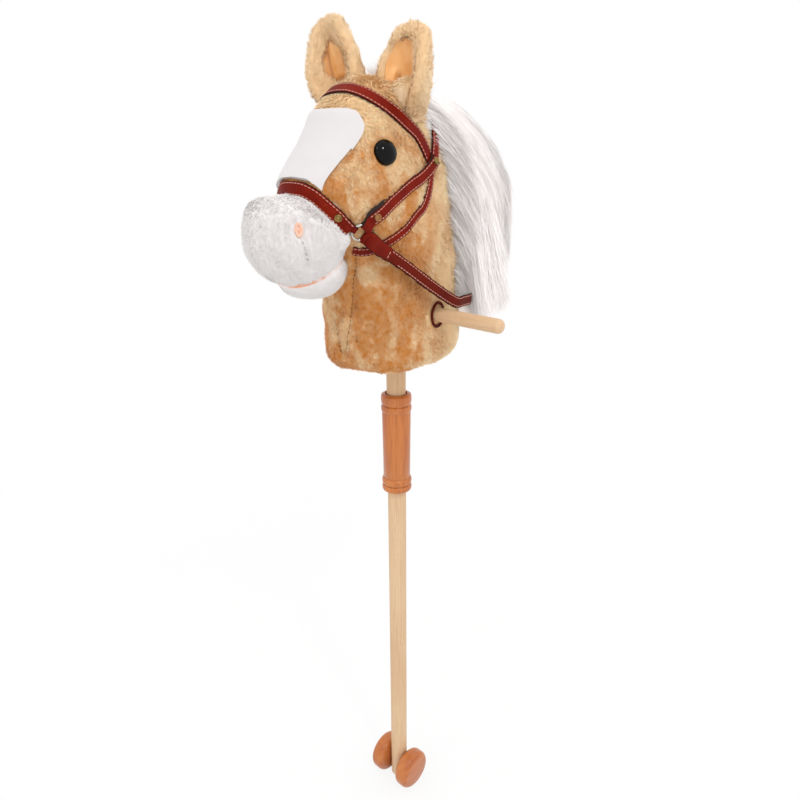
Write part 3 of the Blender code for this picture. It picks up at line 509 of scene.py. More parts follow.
def leather(name):
    """Smooth red-brown strap, darker at its edges and finely pebbled."""
    f = Finish(name)
    edge = f.number("edge")
    drift = f.noise(55, 3)
    pebble = f.noise(1500, 2)
    wear_and_sheen = f.between(f.noise(260, 3, roughness=0.7), 0.55, 0.75)
    colour = f.mix(f.between(drift, 0.3, 0.7), hue("6A1105"), hue("7E1A07"))
    # Lighter patches: partly wear, partly a painted sheen on the leather.
    colour = f.mix(wear_and_sheen * 0.25, colour, hue("A34426"))
    # Painted shade: the straps are darker low down, where the rein faces the floor.
    low = 1 - f.between(f.coordinate(2), *LOW_STRAP_SHADE)
    colour = f.mix(low * 0.5, colour, hue("42140B"))
    colour = f.mix(f.between(edge, 0.86, 1.0) * 0.8, colour, hue("2B0E09"))
    f.bump(pebble + edge * -0.6, 0.00009)
    return f.set(Base_Color=colour, Roughness=0.42 + 0.16 * pebble, Specular_IOR_Level=0.09)


def backing(name):
    """The rough dark side of a strap."""
    f = Finish(name)
    fibres = f.noise(1400, 3, roughness=0.7)
    f.bump(fibres, 0.0003)
    return f.set(Base_Color=f.mix(fibres, hue("170F0D"), hue("3A211B")),
                 Roughness=0.8 + 0.15 * fibres)


def thread(name, colour, shade):
    """Twisted sewing thread."""
    f = Finish(name)
    twist = f.noise(3200, 1)
    f.bump(twist, 0.00008)
    return f.set(Base_Color=f.mix(twist, colour, shade), Roughness=0.6 + 0.2 * twist)


def metal(name, bright, dull, roughness):
    """Plated or antique metal with fine scuffs."""
    f = Finish(name)
    scuffs = f.noise(900, 4, (1, 1, 0.3), 0.7)
    stain = f.between(f.noise(330, 3), 0.4, 0.75)
    f.bump(scuffs, 0.00003)
    return f.set(Base_Color=f.mix(stain, bright, dull), Roughness=roughness + 0.15 * scuffs,
                 Metallic=0.95 - 0.25 * stain)


def black_gloss(name):
    """Polished black eyes."""
    f = Finish(name)
    haze = f.noise(500, 2)
    return f.set(Base_Color=f.mix(haze, hue("030303"), hue("0A090A")),
                 Roughness=0.04 + 0.02 * haze, Specular_IOR_Level=0.17)


def nylon(name):
    """The eyes' pale locking washers."""
    f = Finish(name)
    haze = f.noise(700, 2)
    f.bump(haze, 0.00004)
    return f.set(Base_Color=f.mix(haze, hue("EDEAE2"), hue("DCD8CE")), Roughness=0.4 + 0.2 * haze)


def unit(vectors):
    """The vectors brought to length 1."""
    return vectors / np.maximum(np.linalg.norm(vectors, axis=-1, keepdims=True), 1e-12)


def dot(a, b):
    """Scalar products of two rows of vectors, as a column."""
    return (a * b).sum(-1, keepdims=True)


def ease(value, low, high):
    """0 under low, 1 over high, and a smooth rise between them."""
    t = np.clip((value - low) / (high - low), 0, 1)
    return t * t * (3 - 2 * t)


def ridge(value, middle, width):
    """1 at the middle, and a smooth fall to 0 over about a width on each side."""
    return np.exp(-((value - middle) / width) ** 2)


def swell(points, size, seed):
    """A smooth random field from -1 to 1 over points, with swells of about a size."""
    draw = np.random.default_rng(seed)
    waves = unit(draw.normal(size=(7, 3))) * 2 * np.pi / size * draw.uniform(0.6, 1.3, (7, 1))
    return np.sin(points @ waves.T + draw.uniform(0, 2 * np.pi, 7)).sum(-1) / 3.2


def smooth(stations, at, column=1):
    """The value at `at` on a smooth curve through rows of (place, value, ...), which never
    overshoots between two rows."""
    table = np.array(stations, float)
    places, values = table[:, 0], table[:, column]
    at = np.clip(at, places[0], places[-1])
    slopes = np.diff(values) / np.diff(places)
    before, after = slopes[:-1], slopes[1:]
    turning = before * after <= 0
    bends = np.where(turning, 0, 2 * before * after / np.where(turning, 1, before + after))
    bends = np.concatenate((slopes[:1], bends, slopes[-1:]))
    k = np.clip(np.searchsorted(places, at, side="right") - 1, 0, len(places) - 2)
    span = places[k + 1] - places[k]
    t = (at - places[k]) / span
    return (
        values[k] * (1 + 2 * t) * (1 - t) ** 2
        + bends[k] * span * t * (1 - t) ** 2
        + values[k + 1] * t * t * (3 - 2 * t)
        - bends[k + 1] * span * t * t * (1 - t)
    )


def through(points, per_span=10):
    """Points on a smooth curve through the given ones."""
    rows = np.array(points, float)
    rows = np.vstack((2 * rows[0] - rows[1], rows, 2 * rows[-1] - rows[-2]))
    a, b, c, d = rows[:-3, None], rows[1:-2, None], rows[2:-1, None], rows[3:, None]
    t = (np.arange(per_span) / per_span)[None, :, None]
    bend = (2 * a - 5 * b + 4 * c - d) * t * t + (3 * b - a - 3 * c + d) * t**3
    found = 0.5 * (2 * b + (c - a) * t + bend)
    return np.vstack((found.reshape(-1, rows.shape[1]), rows[-2]))


def body_section(height):
    """Middle, half depth and half width of the plush body's section."""
    front, back, half_width = (smooth(BODY_SECTIONS, height, k) for k in (1, 2, 3))
    middle, half_depth = (front + back) / 2, (back - front) / 2
    over = np.clip((height - HEAD_DOME_START) / (HEAD_TOP - HEAD_DOME_START), 0, 1)
    share = np.sqrt(1 - over**2)
    short = np.clip(NECK_BOTTOM + NECK_BOTTOM_ROUNDING - height, 0, NECK_BOTTOM_ROUNDING)
    inset = NECK_BOTTOM_ROUNDING - np.sqrt(NECK_BOTTOM_ROUNDING**2 - short**2)
    return middle, half_depth * share - inset, half_width * share - inset


def body_point(turn, height):
    """Points of the plush body's skin."""
    turn, height = np.broadcast_arrays(np.asarray(turn, float), np.asarray(height, float))
    middle, half_depth, half_width = body_section(height)
    s, c = np.sin(np.radians(turn)), np.cos(np.radians(turn))
    power = 2 / BODY_SQUARENESS
    across = np.sign(s) * np.abs(s) ** power
    along = np.sign(c) * np.abs(c) ** power
    return np.stack((half_width * across, middle - half_depth * along, height), -1)


def body_normal(turn, height):
    """The direction out of the skin, from the slope of the skin around a point."""
    near_turn, near_height = 1.0, 0.0004
    turn, height = np.asarray(turn, float), np.asarray(height, float)
    round_it = body_point(turn + near_turn, height) - body_point(turn - near_turn, height)
    up_it = body_point(turn, height + near_height) - body_point(turn, height - near_height)
    return unit(np.cross(round_it, up_it))


def on_body(turn, height, lift):
    """Points that stand off the skin by a lift."""
    return body_point(turn, height) + body_normal(turn, height) * np.asarray(lift)[..., None]


def turn_at(x, height):
    """The turn at which the skin's front half is x from the middle plane."""
    share = np.minimum(1.0, np.abs(x) / body_section(height)[2]) ** (BODY_SQUARENESS / 2)
    return np.sign(x) * np.degrees(np.arcsin(share))


def in_body(points, grow=0.0):
    """Which points lie inside the plush body, grown by a little."""
    middle, half_depth, half_width = body_section(points[:, 2])
    across = np.abs(points[:, 0]) / np.maximum(half_width + grow, 1e-4)
    along = np.abs(points[:, 1] - middle) / np.maximum(half_depth + grow, 1e-4)
    level = (points[:, 2] > NECK_BOTTOM) & (points[:, 2] < HEAD_TOP)
    return (across**BODY_SQUARENESS + along**BODY_SQUARENESS < 1) & level


def in_ellipsoid(points, centre, half, grow=0.0):
    """Which points lie inside a ball form, grown by a little."""
    return (((points - centre) / (half + grow)) ** 2).sum(-1) < 1


def from_arrays(name, points, faces):
    """A mesh from an array of points and an array of faces with as many corners each."""
    mesh = bpy.data.meshes.new(name)
    mesh.vertices.add(len(points))
    mesh.vertices.foreach_set("co", np.ascontiguousarray(points, np.float32).ravel())
    mesh.loops.add(faces.size)
    mesh.loops.foreach_set("vertex_index", np.ascontiguousarray(faces, np.int32).ravel())
    mesh.polygons.add(len(faces))
    starts = np.arange(0, faces.size, faces.shape[1], dtype=np.int32)
    mesh.polygons.foreach_set("loop_start", starts)
    mesh.update(calc_edges=True)
    return mesh


def piece(name, mesh, finish, replaces=(), body="frame", numbers=()):
    """An object of the toy from a mesh, with a finish, riding on a body of the model."""
    thing = bpy.data.objects.new(name, mesh)
    bpy.context.scene.collection.objects.link(thing)
    mesh.materials.append(finish.material)
    for key, values in dict(numbers).items():
        stored = mesh.attributes.new(key, "FLOAT", "POINT")
        stored.data.foreach_set("value", np.ascontiguousarray(values, np.float32).ravel())
    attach(thing, body)
    if replaces:
        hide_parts(*replaces)
    return thing


def grid_faces(rows, columns, around=False):
    """Four-cornered faces between rows of points."""
    first = np.arange(rows - 1)[:, None] * columns
    i = np.arange(columns if around else columns - 1)[None, :]
    j = (i + 1) % columns
    faces = np.stack((first + i, first + j, first + columns + j, first + columns + i), -1)
    return faces.reshape(-1, 4)


def loft(name, rings, closed=False, sharp=None):
    """A closed skin over rings of points. Its ends are faces of their own unless it is closed."""
    rings = np.asarray(rings, float)
    count, columns = rings.shape[:2]
    faces = grid_faces(count, columns, True).tolist()
    if closed:
        last = (count - 1) * columns
        for i in range(columns):
            j = (i + 1) % columns
            faces.append((last + i, last + j, j, i))
    else:
        faces.append(tuple(range(columns - 1, -1, -1)))
        faces.append(tuple(range((count - 1) * columns, count * columns)))
    mesh = bpy.data.meshes.new(name)
    mesh.from_pydata(rings.reshape(-1, 3).tolist(), [], faces)
    turn_outwards(mesh)
    mesh.shade_smooth()
    if sharp is not None:
        mesh.set_sharp_from_angle(angle=math.radians(sharp))
    return mesh


def mesh_arrays(mesh):
    """The corners of a mesh's triangles, and its points."""
    mesh.calc_loop_triangles()
    corners = np.empty(len(mesh.loop_triangles) * 3, np.int32)
    mesh.loop_triangles.foreach_get("vertices", corners)
    points = np.empty(len(mesh.vertices) * 3, np.float32)
    mesh.vertices.foreach_get("co", points)
    return corners.reshape(-1, 3), points.reshape(-1, 3)


def turn_outwards(mesh):
    """Flips a closed mesh whose faces look inwards."""
    triangles, points = mesh_arrays(mesh)
    a, b, c = points[triangles].transpose(1, 0, 2)
    if (a * np.cross(b, c)).sum() < 0:
        mesh.flip_normals()


def lathe(name, outline, sides=72, axis=UP, place=(0, 0, 0), closed=False, sharp=30):
    """A turned solid from an outline of (radius, distance along the axis)."""
    turned = np.array(Vector(axis).to_track_quat("Z", "Y").to_matrix())
    angles = round_angles(sides)
    rings = []
    for radius, along in outline:
        spokes = np.stack((radius * np.cos(angles), radius * np.sin(angles),
                           np.full(sides, along)), -1)
        rings.append(np.asarray(place) + spokes @ turned.T)
    return loft(name, rings, closed, sharp)


def arc(centre, radius, first, last, count=8):
    """Outline points of a round stretch, from one angle to another, in degrees."""
    angles = np.radians(np.linspace(first, last, count + 1))
    return [(centre[0] + radius * math.cos(a), centre[1] + radius * math.sin(a)) for a in angles]


def frames(points, outs):
    """Unit directions along, across and out of the face of a strap's path."""
    along = unit(np.gradient(points, axis=0))
    across = unit(np.cross(along, outs))
    return along, across, unit(np.cross(across, along))


def measured(points):
    """How far along a line each of its points lies."""
    return np.concatenate(([0], np.cumsum(np.linalg.norm(np.diff(points, axis=0), axis=1))))


def strap_mesh(name, points, outs, widths, low, high, rounding):
    """A flat strap with rounded long edges. low and high are its faces' heights over its path."""
    _, across, face = frames(points, outs)
    corners = []
    for sign_side, sign_face, first in ((1, 1, 0), (-1, 1, 90), (-1, -1, 180), (1, -1, 270)):
        for angle in np.radians(np.linspace(first, first + 90, 4)):
            corners.append((sign_side, sign_face, math.cos(angle), math.sin(angle)))
    rings = []
    for sign_side, sign_face, side, rise in corners:
        reach = sign_side * (widths / 2 - rounding) + side * rounding
        height = (high - rounding if sign_face > 0 else low + rounding) + rise * rounding
        rings.append(points + across * reach[:, None] + face * height)
    mesh = loft(name, np.array(rings).transpose(1, 0, 2), sharp=50)
    edge = np.array([1.0 if sign_face < 0 else 0.86 + 0.14 * abs(side)
                     for _, sign_face, side, _ in corners])
    return mesh, np.tile(edge, len(points))


def stitch_mesh(name, points, outs, offsets, height, start=0.0, stop=None, pitch=STITCH_PITCH,
                length=STITCH_LENGTH, radius=STITCH_RADIUS):
    """Rows of short thread capsules at offsets (one array or number a row) from a path."""
    _, across, face = frames(points, outs)
    shares = np.array((0.0, 0.12, 0.5, 0.88, 1.0))
    swells = np.array((0.45, 0.9, 1.0, 0.9, 0.45))
    sinks = np.array((-0.9, -0.1, 0.25, -0.1, -0.9))
    sides_round, points_each = 6, 30
    angles = round_angles(sides_round)
    found = []
    for offset in offsets:
        line = points + across * np.broadcast_to(offset, len(points))[:, None] + face * height
        at = measured(line)
        end = at[-1] if stop is None else stop
        begins = np.arange(start, end - length, pitch)
        places = begins[:, None] + shares * length
        spots, sides, faces = (np.stack([np.interp(places, at, rows[:, k]) for k in range(3)], -1)
                               for rows in (line, across, face))
        spots = spots + faces * (sinks * radius)[None, :, None]
        rim = (sides[:, :, None] * np.cos(angles)[:, None] + faces[:, :, None]
               * np.sin(angles)[:, None]) * (swells * radius)[None, :, None, None]
        found.append((spots[:, :, None] + rim).reshape(-1, 3))
    every = np.vstack(found)
    count = len(every) // points_each
    one = np.vstack((grid_faces(len(shares), sides_round, True), [(5, 4, 3, 2), (5, 2, 1, 0)],
                     [(24, 25, 26, 27), (24, 27, 28, 29)]))
    faces = (one[None] + points_each * np.arange(count)[:, None, None]).reshape(-1, 4)
    mesh = from_arrays(name, every, faces)
    turn_outwards(mesh)
    mesh.shade_smooth()
    return mesh


def body_path(route):
    """Points of a route over the skin, and the directions out of the skin there."""
    rows = through(route)
    return on_body(*rows.T), body_normal(rows[:, 0], rows[:, 1])


def joined(*paths):
    """Paths one after another as one path."""
    return tuple(np.vstack(rows) for rows in zip(*paths))


def mirrored(path):
    """A path on the other side of the horse."""
    return tuple(rows * MIRROR for rows in path)


def on_side(path, sign):
    """A left path, on the side that a sign names."""
    return path if sign > 0 else mirrored(path)


def across_middle(half):
    """A path from its mirrored end, over the middle plane, to its left end."""
    points, outs = mirrored(half)
    return joined((points[:0:-1], outs[:0:-1]), half)


def bit_ring_frame():
    """Centre and outward direction of the left bit ring."""
    return on_body(*RING_PLACE, RING_LIFT), body_normal(*RING_PLACE)


def ring_spoke(point):
    """The direction from the bit ring's centre towards a point, in the ring's plane."""
    centre, out = bit_ring_frame()
    spoke = point - centre
    return unit(spoke - out * dot(spoke, out))


def round_angles(count):
    """Even steps round a circle, in radians."""
    return 2 * np.pi * np.arange(count) / count


def round_ring(last, width=LOOP_WIDTH, count=16):
    """The path of a strap end of a given width over the bit ring's wire and back under it."""
    centre, out = bit_ring_frame()
    spoke = ring_spoke(last)
    wire = centre + spoke * RING_RADIUS
    reach = RING_WIRE / 2 + GAP + STRAP / 2
    curving_in = RING_RADIUS - math.sqrt(RING_RADIUS**2 - (width / 2) ** 2)
    angles = np.radians(np.linspace(-30, 180, count))[:, None]
    over, inwards = out * np.cos(angles), spoke * -np.sin(angles)
    return wire + over * reach + inwards * (reach + curving_in), over + inwards


def looped(route, tail):
    """A strap that follows a route to the bit ring, goes round its wire and ends under itself."""
    outer = body_path(route)
    under = body_path([(*p, FIRST_LAYER) for p in tail])
    return joined(outer, round_ring(outer[0][-1]), (under[0], -under[1])), len(outer[0])


def narrowed(count, width, end_width, start, end):
    """Widths of a strap that change smoothly between two of its points."""
    share = ease(np.arange(count), start, end)
    return width + (end_width - width) * share


def rein_path():
    """The left half of the rein's path, its widths, and how much of it lies before the ring."""
    line = through(REIN_ROUTE, 12)
    along = np.gradient(line, axis=0)
    flat = unit(np.stack((along[:, 1], -along[:, 0], np.zeros(len(line))), -1))
    flat[0] = (0, 1, 0)
    away = np.stack((line[:, 0], np.maximum(line[:, 1], 0), np.zeros(len(line))), -1)
    flat = np.where(dot(flat, away) > 0, flat, -flat)
    loop = round_ring(line[-1], REIN_LOOP_WIDTH)
    spoke = ring_spoke(line[-1])
    tail = spoke * REIN_TAIL - bit_ring_frame()[1] * REIN_TAIL_SINK
    under = loop[0][-1] + tail * np.linspace(0.2, 1, 5)[:, None]
    share = np.linspace(0, 1, 9)[1:-1, None]
    link = (line[-1] + (loop[0][0] - line[-1]) * share,
            unit(flat[-1] + (loop[1][0] - flat[-1]) * share))
    half = joined((line, flat), link, loop, (under, np.repeat(loop[1][-1:], 5, 0)))
    widths = narrowed(len(half[0]), REIN_START_WIDTH, REIN_TAB_WIDTH, len(line) - 6, len(line))
    far = np.linalg.norm(line - line[-1], axis=1)
    widths[:len(line)] = np.where(far > REIN_START, REIN_WIDTH, widths[:len(line)])
    return half, widths, len(line)


def ragged(widths, seed):
    """Widths of a rough backing that stands out a little, more in some places."""
    draw = np.random.default_rng(seed)
    return widths + BACKING_OVERHANG * draw.uniform(-0.2, 2.2, len(widths))


def make_strap(name, path, widths, node, stitched, seed, slip=0.0):
    """A strap's leather face, its backing and its two rows of stitches. Returns what it covers.
    slip is how far the backing lies out of line, a number or one for each point."""
    points, outs = path
    low, high = -STRAP / 2, STRAP / 2
    join = high - STRAP * LEATHER_SHARE
    mesh, edge = strap_mesh(name, points, outs, widths, join, high, 0.00045)
    piece(name, mesh, LEATHER, [node], numbers={"edge": edge})
    aside = frames(points, outs)[1] * np.broadcast_to(slip, len(points))[:, None]
    mesh, _ = strap_mesh(f"{name}_backing", points + aside, outs, ragged(widths, seed), low, join,
                         0.0002)
    piece(f"{name}_backing", mesh, BACKING)
    if stitched:
        start, stop = stitched
        inset = widths / 2 - STITCH_INSET
        mesh = stitch_mesh(f"{name}_stitches", points, outs, (inset, -inset), high, start, stop)
        piece(f"{name}_stitches", mesh, PALE_THREAD)
    step = slice(None, None, 3)
    return points[step], widths[step] / 2


def dowel(diameter, low, high, rounding, count=8):
    """The outline of a dowel between two distances along its axis, with rounded ends."""
    side = diameter / 2 - rounding
    return (arc((side, low + rounding), rounding, -90, 0, count)
            + arc((side, high - rounding), rounding, 0, 90, count))


def wood_pieces():
    """Poles, handle, grip and wheels, turned finely."""
    upright = ((0, 0, 1), (1, 1, 0))
    sideways = ((1, 0, 0), (0, 1, 1))
    poles = (("pole_above_grip", POLE_JOINT + GAP / 2, POLE_ABOVE_HANDLE, "upper_pole"),
             ("pole_below_grip", POLE_FOOT, POLE_JOINT - GAP / 2, "lower_pole"))
    for name, low, high, node in poles:
        outline = dowel(POLE_DIAMETER, low, high, POLE_END_ROUNDING)
        piece(name, lathe(name, outline), beech(name, *upright), [node])
    end = HANDLE_LENGTH / 2
    outline = dowel(HANDLE_DIAMETER, -end, end, HANDLE_END_ROUNDING, 12)
    piece("cross_handle", lathe("cross_handle", outline, axis=LEFT),
          beech("cross_handle", *sideways), ["handle"])
    grip_piece(upright)
    for side, sign in SIDES:
        wheel_piece(side, sign)


def bead(top, height, base, crest, count=14):
    """Outline points of a half-round bead, from its top down."""
    share = np.linspace(0, 1, count + 1)
    rise = np.sqrt(np.maximum(0, 1 - (2 * share - 1) ** 2))
    return list(zip(base + (crest - base) * rise, top - height * share))


def grip_piece(grain):
    """The turned grip: two beads at each end and a recess at its top."""
    bore, recess = POLE_DIAMETER / 2 + GAP, GRIP_RECESS_DIAMETER / 2
    base, foot, crest = GRIP_DIAMETER / 2, GRIP_FOOT_DIAMETER / 2, BEAD_DIAMETER / 2
    groove = base - GROOVE_DEPTH
    first, second = BEAD_HEIGHTS
    third, fourth = FOOT_BEAD_HEIGHTS
    bottom = GRIP_TOP - GRIP_LENGTH
    body_top, body_foot = GRIP_TOP - first - second, bottom + third + fourth
    outline = [(bore, GRIP_TOP - GRIP_RECESS_DEPTH), (recess, GRIP_TOP - GRIP_RECESS_DEPTH)]
    outline += [(recess, GRIP_TOP - GRIP_LIP), (recess + GRIP_LIP, GRIP_TOP)]
    outline += bead(GRIP_TOP, first, groove, crest)[2:]
    outline += bead(GRIP_TOP - first, second, groove, crest)[1:-1]
    outline += [(base - 0.0004, body_top - 0.0002), (base, body_top - 0.0010)]
    outline += [(foot + (base - foot) * 0.4, (body_top + body_foot) / 2)]
    outline += [(foot, body_foot + 0.0010), (foot - 0.0004, body_foot + 0.0002)]
    outline += bead(body_foot, third, foot - GRIP_LIP, crest)[1:-1]
    outline += bead(body_foot - third, fourth, foot - GRIP_LIP, crest)[:-2]
    outline += [(foot - GRIP_FOOT_ROUNDING / 3, bottom + 0.0002),
                (foot - GRIP_FOOT_ROUNDING / 2, bottom), (bore, bottom)]
    piece("turned_grip", lathe("turned_grip", outline, 96, closed=True, sharp=40),
          varnished("turned_grip", *grain), ["grip"])


def wheel_piece(side, sign):
    """A thick wheel with a rounded rim, a flat inner face and a blind hole for the axle."""
    inner = POLE_DIAMETER / 2 + WHEEL_PLAY
    outer = inner + WHEEL_WIDTH
    radius, bore, reach = WHEEL_DIAMETER / 2, AXLE_DIAMETER / 2 + GAP, inner + AXLE_DEPTH_IN_WHEEL
    flat = radius - WHEEL_ROUNDING
    face = [(flat * s, outer + WHEEL_CROWN * (1 - s * s)) for s in np.linspace(1, 0.08, 10)]
    outline = [(bore, reach + GAP), (bore, inner), (flat, inner)]
    outline += arc((flat, inner + WHEEL_ROUNDING), WHEEL_ROUNDING, -80, 0, 12)
    outline += arc((flat, outer - WHEEL_ROUNDING), WHEEL_ROUNDING, 0, 80, 12) + face
    mesh = lathe(f"turned_wheel_{side}", outline, 112, LEFT * sign, (0, 0, AXLE_HEIGHT))
    finish = varnished(f"wheel_wood_{side}", (0, 1, 0), (1, 0, 1))
    piece(f"turned_wheel_{side}", mesh, finish, [f"wheel_{side}"], "wheel_set")


def bridle():
    """Straps, rings and rivets. Returns the middle points and half widths of what they cover."""
    covered = []
    bands = (("browband_strap", BROWBAND_ROUTE, BROWBAND_WIDTH, "browband"),
             ("crown_piece", CROWN_ROUTE, CROWN_WIDTH, "crown_strap"),
             ("noseband_strap", NOSEBAND_ROUTE, NOSEBAND_WIDTH, "noseband"))
    for seed, (name, route, width, node) in enumerate(bands):
        path = across_middle(body_path(route))
        widths = np.full(len(path[0]), width)
        covered.append(make_strap(name, path, widths, node, (0.0015, None), seed))
    cheek, cheek_end = looped(CHEEK_ROUTE, CHEEK_TAIL)
    keeper, _ = looped(KEEPER_ROUTE, KEEPER_TAIL)
    jaw = body_path(JAW_ROUTE)
    cheek_widths = narrowed(len(cheek[0]), CHEEK_WIDTH, CHEEK_END_WIDTH, cheek_end - 6, cheek_end)
    cheek_length = measured(cheek[0])[cheek_end - 2]
    near_ring = cheek_length - measured(cheek[0])
    cheek_slip = (CHEEK_BACKING_SLIP * ease(near_ring, -0.004, 0.004)
                  * ease(0.034 - near_ring, 0, 0.022))
    for side, sign in SIDES:
        pairs = (("cheek_piece", cheek, cheek_widths, "cheek_strap", (0.0015, cheek_length)),
                 ("ring_loop", keeper, np.full(len(keeper[0]), LOOP_WIDTH), "ring_keeper", None),
                 ("jaw_piece", jaw, np.full(len(jaw[0]), JAW_WIDTH), "jaw_strap", (0.0015, None)))
        for seed, (name, path, widths, node, stitched) in enumerate(pairs):
            slip = sign * cheek_slip if name == "cheek_piece" else 0.0
            covered.append(make_strap(f"{name}_{side}", on_side(path, sign), widths,
                                      f"{node}_{side}", stitched, 10 + seed, slip))
    rein_pieces()
    for side, sign in SIDES:
        ring_and_rivets(side, sign)
    return np.vstack([c[0] for c in covered]), np.concatenate([c[1] for c in covered])


def rein_pieces():
    """The rein from ring to ring, and the stitches across it where its plain starts end."""
    half, widths, before_ring = rein_path()
    path = across_middle(half)
    whole = measured(path[0])
    middle = len(half[0]) - 1
    plain = whole[-1] - whole[middle + before_ring - 1] + REIN_START
    make_strap("rein_strap", path, np.concatenate((widths[:0:-1], widths)), "rein",
               (plain, whole[-1] - plain), 20)
    at = np.argmax(whole[middle:] > whole[-1] - plain) + middle
    across = frames(*path)[1][at] * (REIN_WIDTH / 2 - STITCH_INSET)
    row = path[0][at] + across * np.linspace(-1, 1, 7)[:, None]
    for side, sign in SIDES:
        flip = flip_of(sign)
        mesh = stitch_mesh(f"rein_cross_stitches_{side}", row * flip,
                           np.repeat(path[1][at:at + 1], 7, 0) * flip, (0.0,), STRAP / 2)
        piece(f"rein_cross_stitches_{side}", mesh, PALE_THREAD)


def ring_and_rivets(side, sign):
    """One side's bit ring, and its rivets at the crown joint, the cheek and the noseband."""
    flip = flip_of(sign)
    centre, out = bit_ring_frame()
    wire = arc((RING_RADIUS, 0), RING_WIRE / 2, 0, 337.5, 15)
    mesh = lathe(f"bit_wire_{side}", wire, 72, out * flip, centre * flip, closed=True, sharp=80)
    piece(f"bit_wire_{side}", mesh, STEEL, [f"bit_ring_{side}"])
    head, shank, seat = RIVET_DIAMETER / 2, RIVET_SHANK / 2, STRAP / 2 + GAP
    kinds = (("crown_rivet", CROWN_RIVET_PLACE, THIRD_LAYER, 3, BRASS),
             ("cheek_rivet", CHEEK_RIVET_PLACE, SECOND_LAYER, 2, TAN_RIVET),
             ("noseband_rivet", NOSEBAND_RIVET_PLACE, THIRD_LAYER, 3, BRASS))
    for name, place, lift, layers, finish in kinds:
        depth = -STRAP / 2 - (layers - 1) * (STRAP + GAP)
        ring = arc((head - 0.0007, seat + RIVET_HEAD * 0.55), 0.0006, 0, 180, 8)
        outline = [(shank, depth), (shank, seat), (head, seat), (head, seat + 0.0004), *ring]
        outline += [(head - 0.0016, seat + 0.0004), (0.0009, seat + 0.00075),
                    (0.0002, seat + 0.0008)]
        mesh = lathe(f"{name}_cap_{side}", outline, 40, body_normal(*place) * flip,
                     on_body(*place, lift) * flip)
        piece(f"{name}_cap_{side}", mesh, finish, [f"{name}_{side}"])


def eye_pieces():
    """Domed glossy eyes on their stems."""
    radius, stem = EYE_DIAMETER / 2, EYE_STEM_DIAMETER / 2
    angles = np.radians(np.linspace(0, 88, 24))
    dome = list(zip(radius * np.cos(angles), EYE_DOME * np.sin(angles)))
    outline = [(stem, -EYE_STEM_LENGTH), (stem, -EYE_SEAT), (radius - 0.0004, -EYE_SEAT),
               (radius, -EYE_SEAT + 0.0004), *dome]
    for side, sign in SIDES:
        flip = flip_of(sign)
        mesh = lathe(f"eye_dome_{side}", outline, 72, body_normal(*EYE_PLACE) * flip,
                     body_point(*EYE_PLACE) * flip)
        piece(f"eye_dome_{side}", mesh, BLACK, [f"eye_{side}"])


class Skin:
    """A stuffed form's surface as arrays, on which pile grows."""

    def __init__(self, mesh, bare=None):
        self.triangles, points = mesh_arrays(mesh)
        normals = np.empty(len(mesh.vertices) * 3, np.float32)
        mesh.vertex_normals.foreach_get("vector", normals)
        self.points = points.astype(float)
        self.normals = normals.reshape(-1, 3).astype(float)
        self.bare = np.zeros(len(self.points)) if bare is None else bare

    def roots(self, per_square, seed):
        """Random places on the surface and the directions out of it there."""
        draw = np.random.default_rng(seed)
        a, b, c = self.points[self.triangles].transpose(1, 0, 2)
        areas = np.linalg.norm(np.cross(b - a, c - a), axis=1) / 2
        count = int(areas.sum() * per_square)
        chosen = self.triangles[draw.choice(len(areas), count, p=areas / areas.sum())]
        u, v = draw.uniform(size=(2, count, 1))
        u, v = np.where(u + v > 1, 1 - u, u), np.where(u + v > 1, 1 - v, v)
        weights = np.stack((1 - u - v, u, v), 1)
        places = (self.points[chosen] * weights).sum(1)
        outs = unit((self.normals[chosen] * weights).sum(1))
        bare = (self.bare[chosen] * weights[:, :, 0]).sum(1)
        return places[bare < 0.5], outs[bare < 0.5]


def obstacle_gap(points, obstacles):
    """How far each point is from the nearest covering sample's edge."""
    samples, reach = obstacles
    gap = np.empty(len(points))
    for start in range(0, len(points), 20000):
        some = points[start:start + 20000]
        square = (some**2).sum(1)[:, None] + (samples**2).sum(1) - 2 * some @ samples.T
        gap[start:start + 20000] = (np.sqrt(np.maximum(square, 0)) - reach).min(1)
    return gap


def line_gap(points, line):
    """How far each point is from a line's samples."""
    return obstacle_gap(points, (line, np.zeros(len(line))))


def nearest_of(choices, points):
    """For each point, the number of the nearest of the choices."""
    tree = KDTree(len(choices))
    for i, place in enumerate(choices):
        tree.insert(place, i)
    tree.balance()
    return np.array([tree.find(point)[1] for point in points])


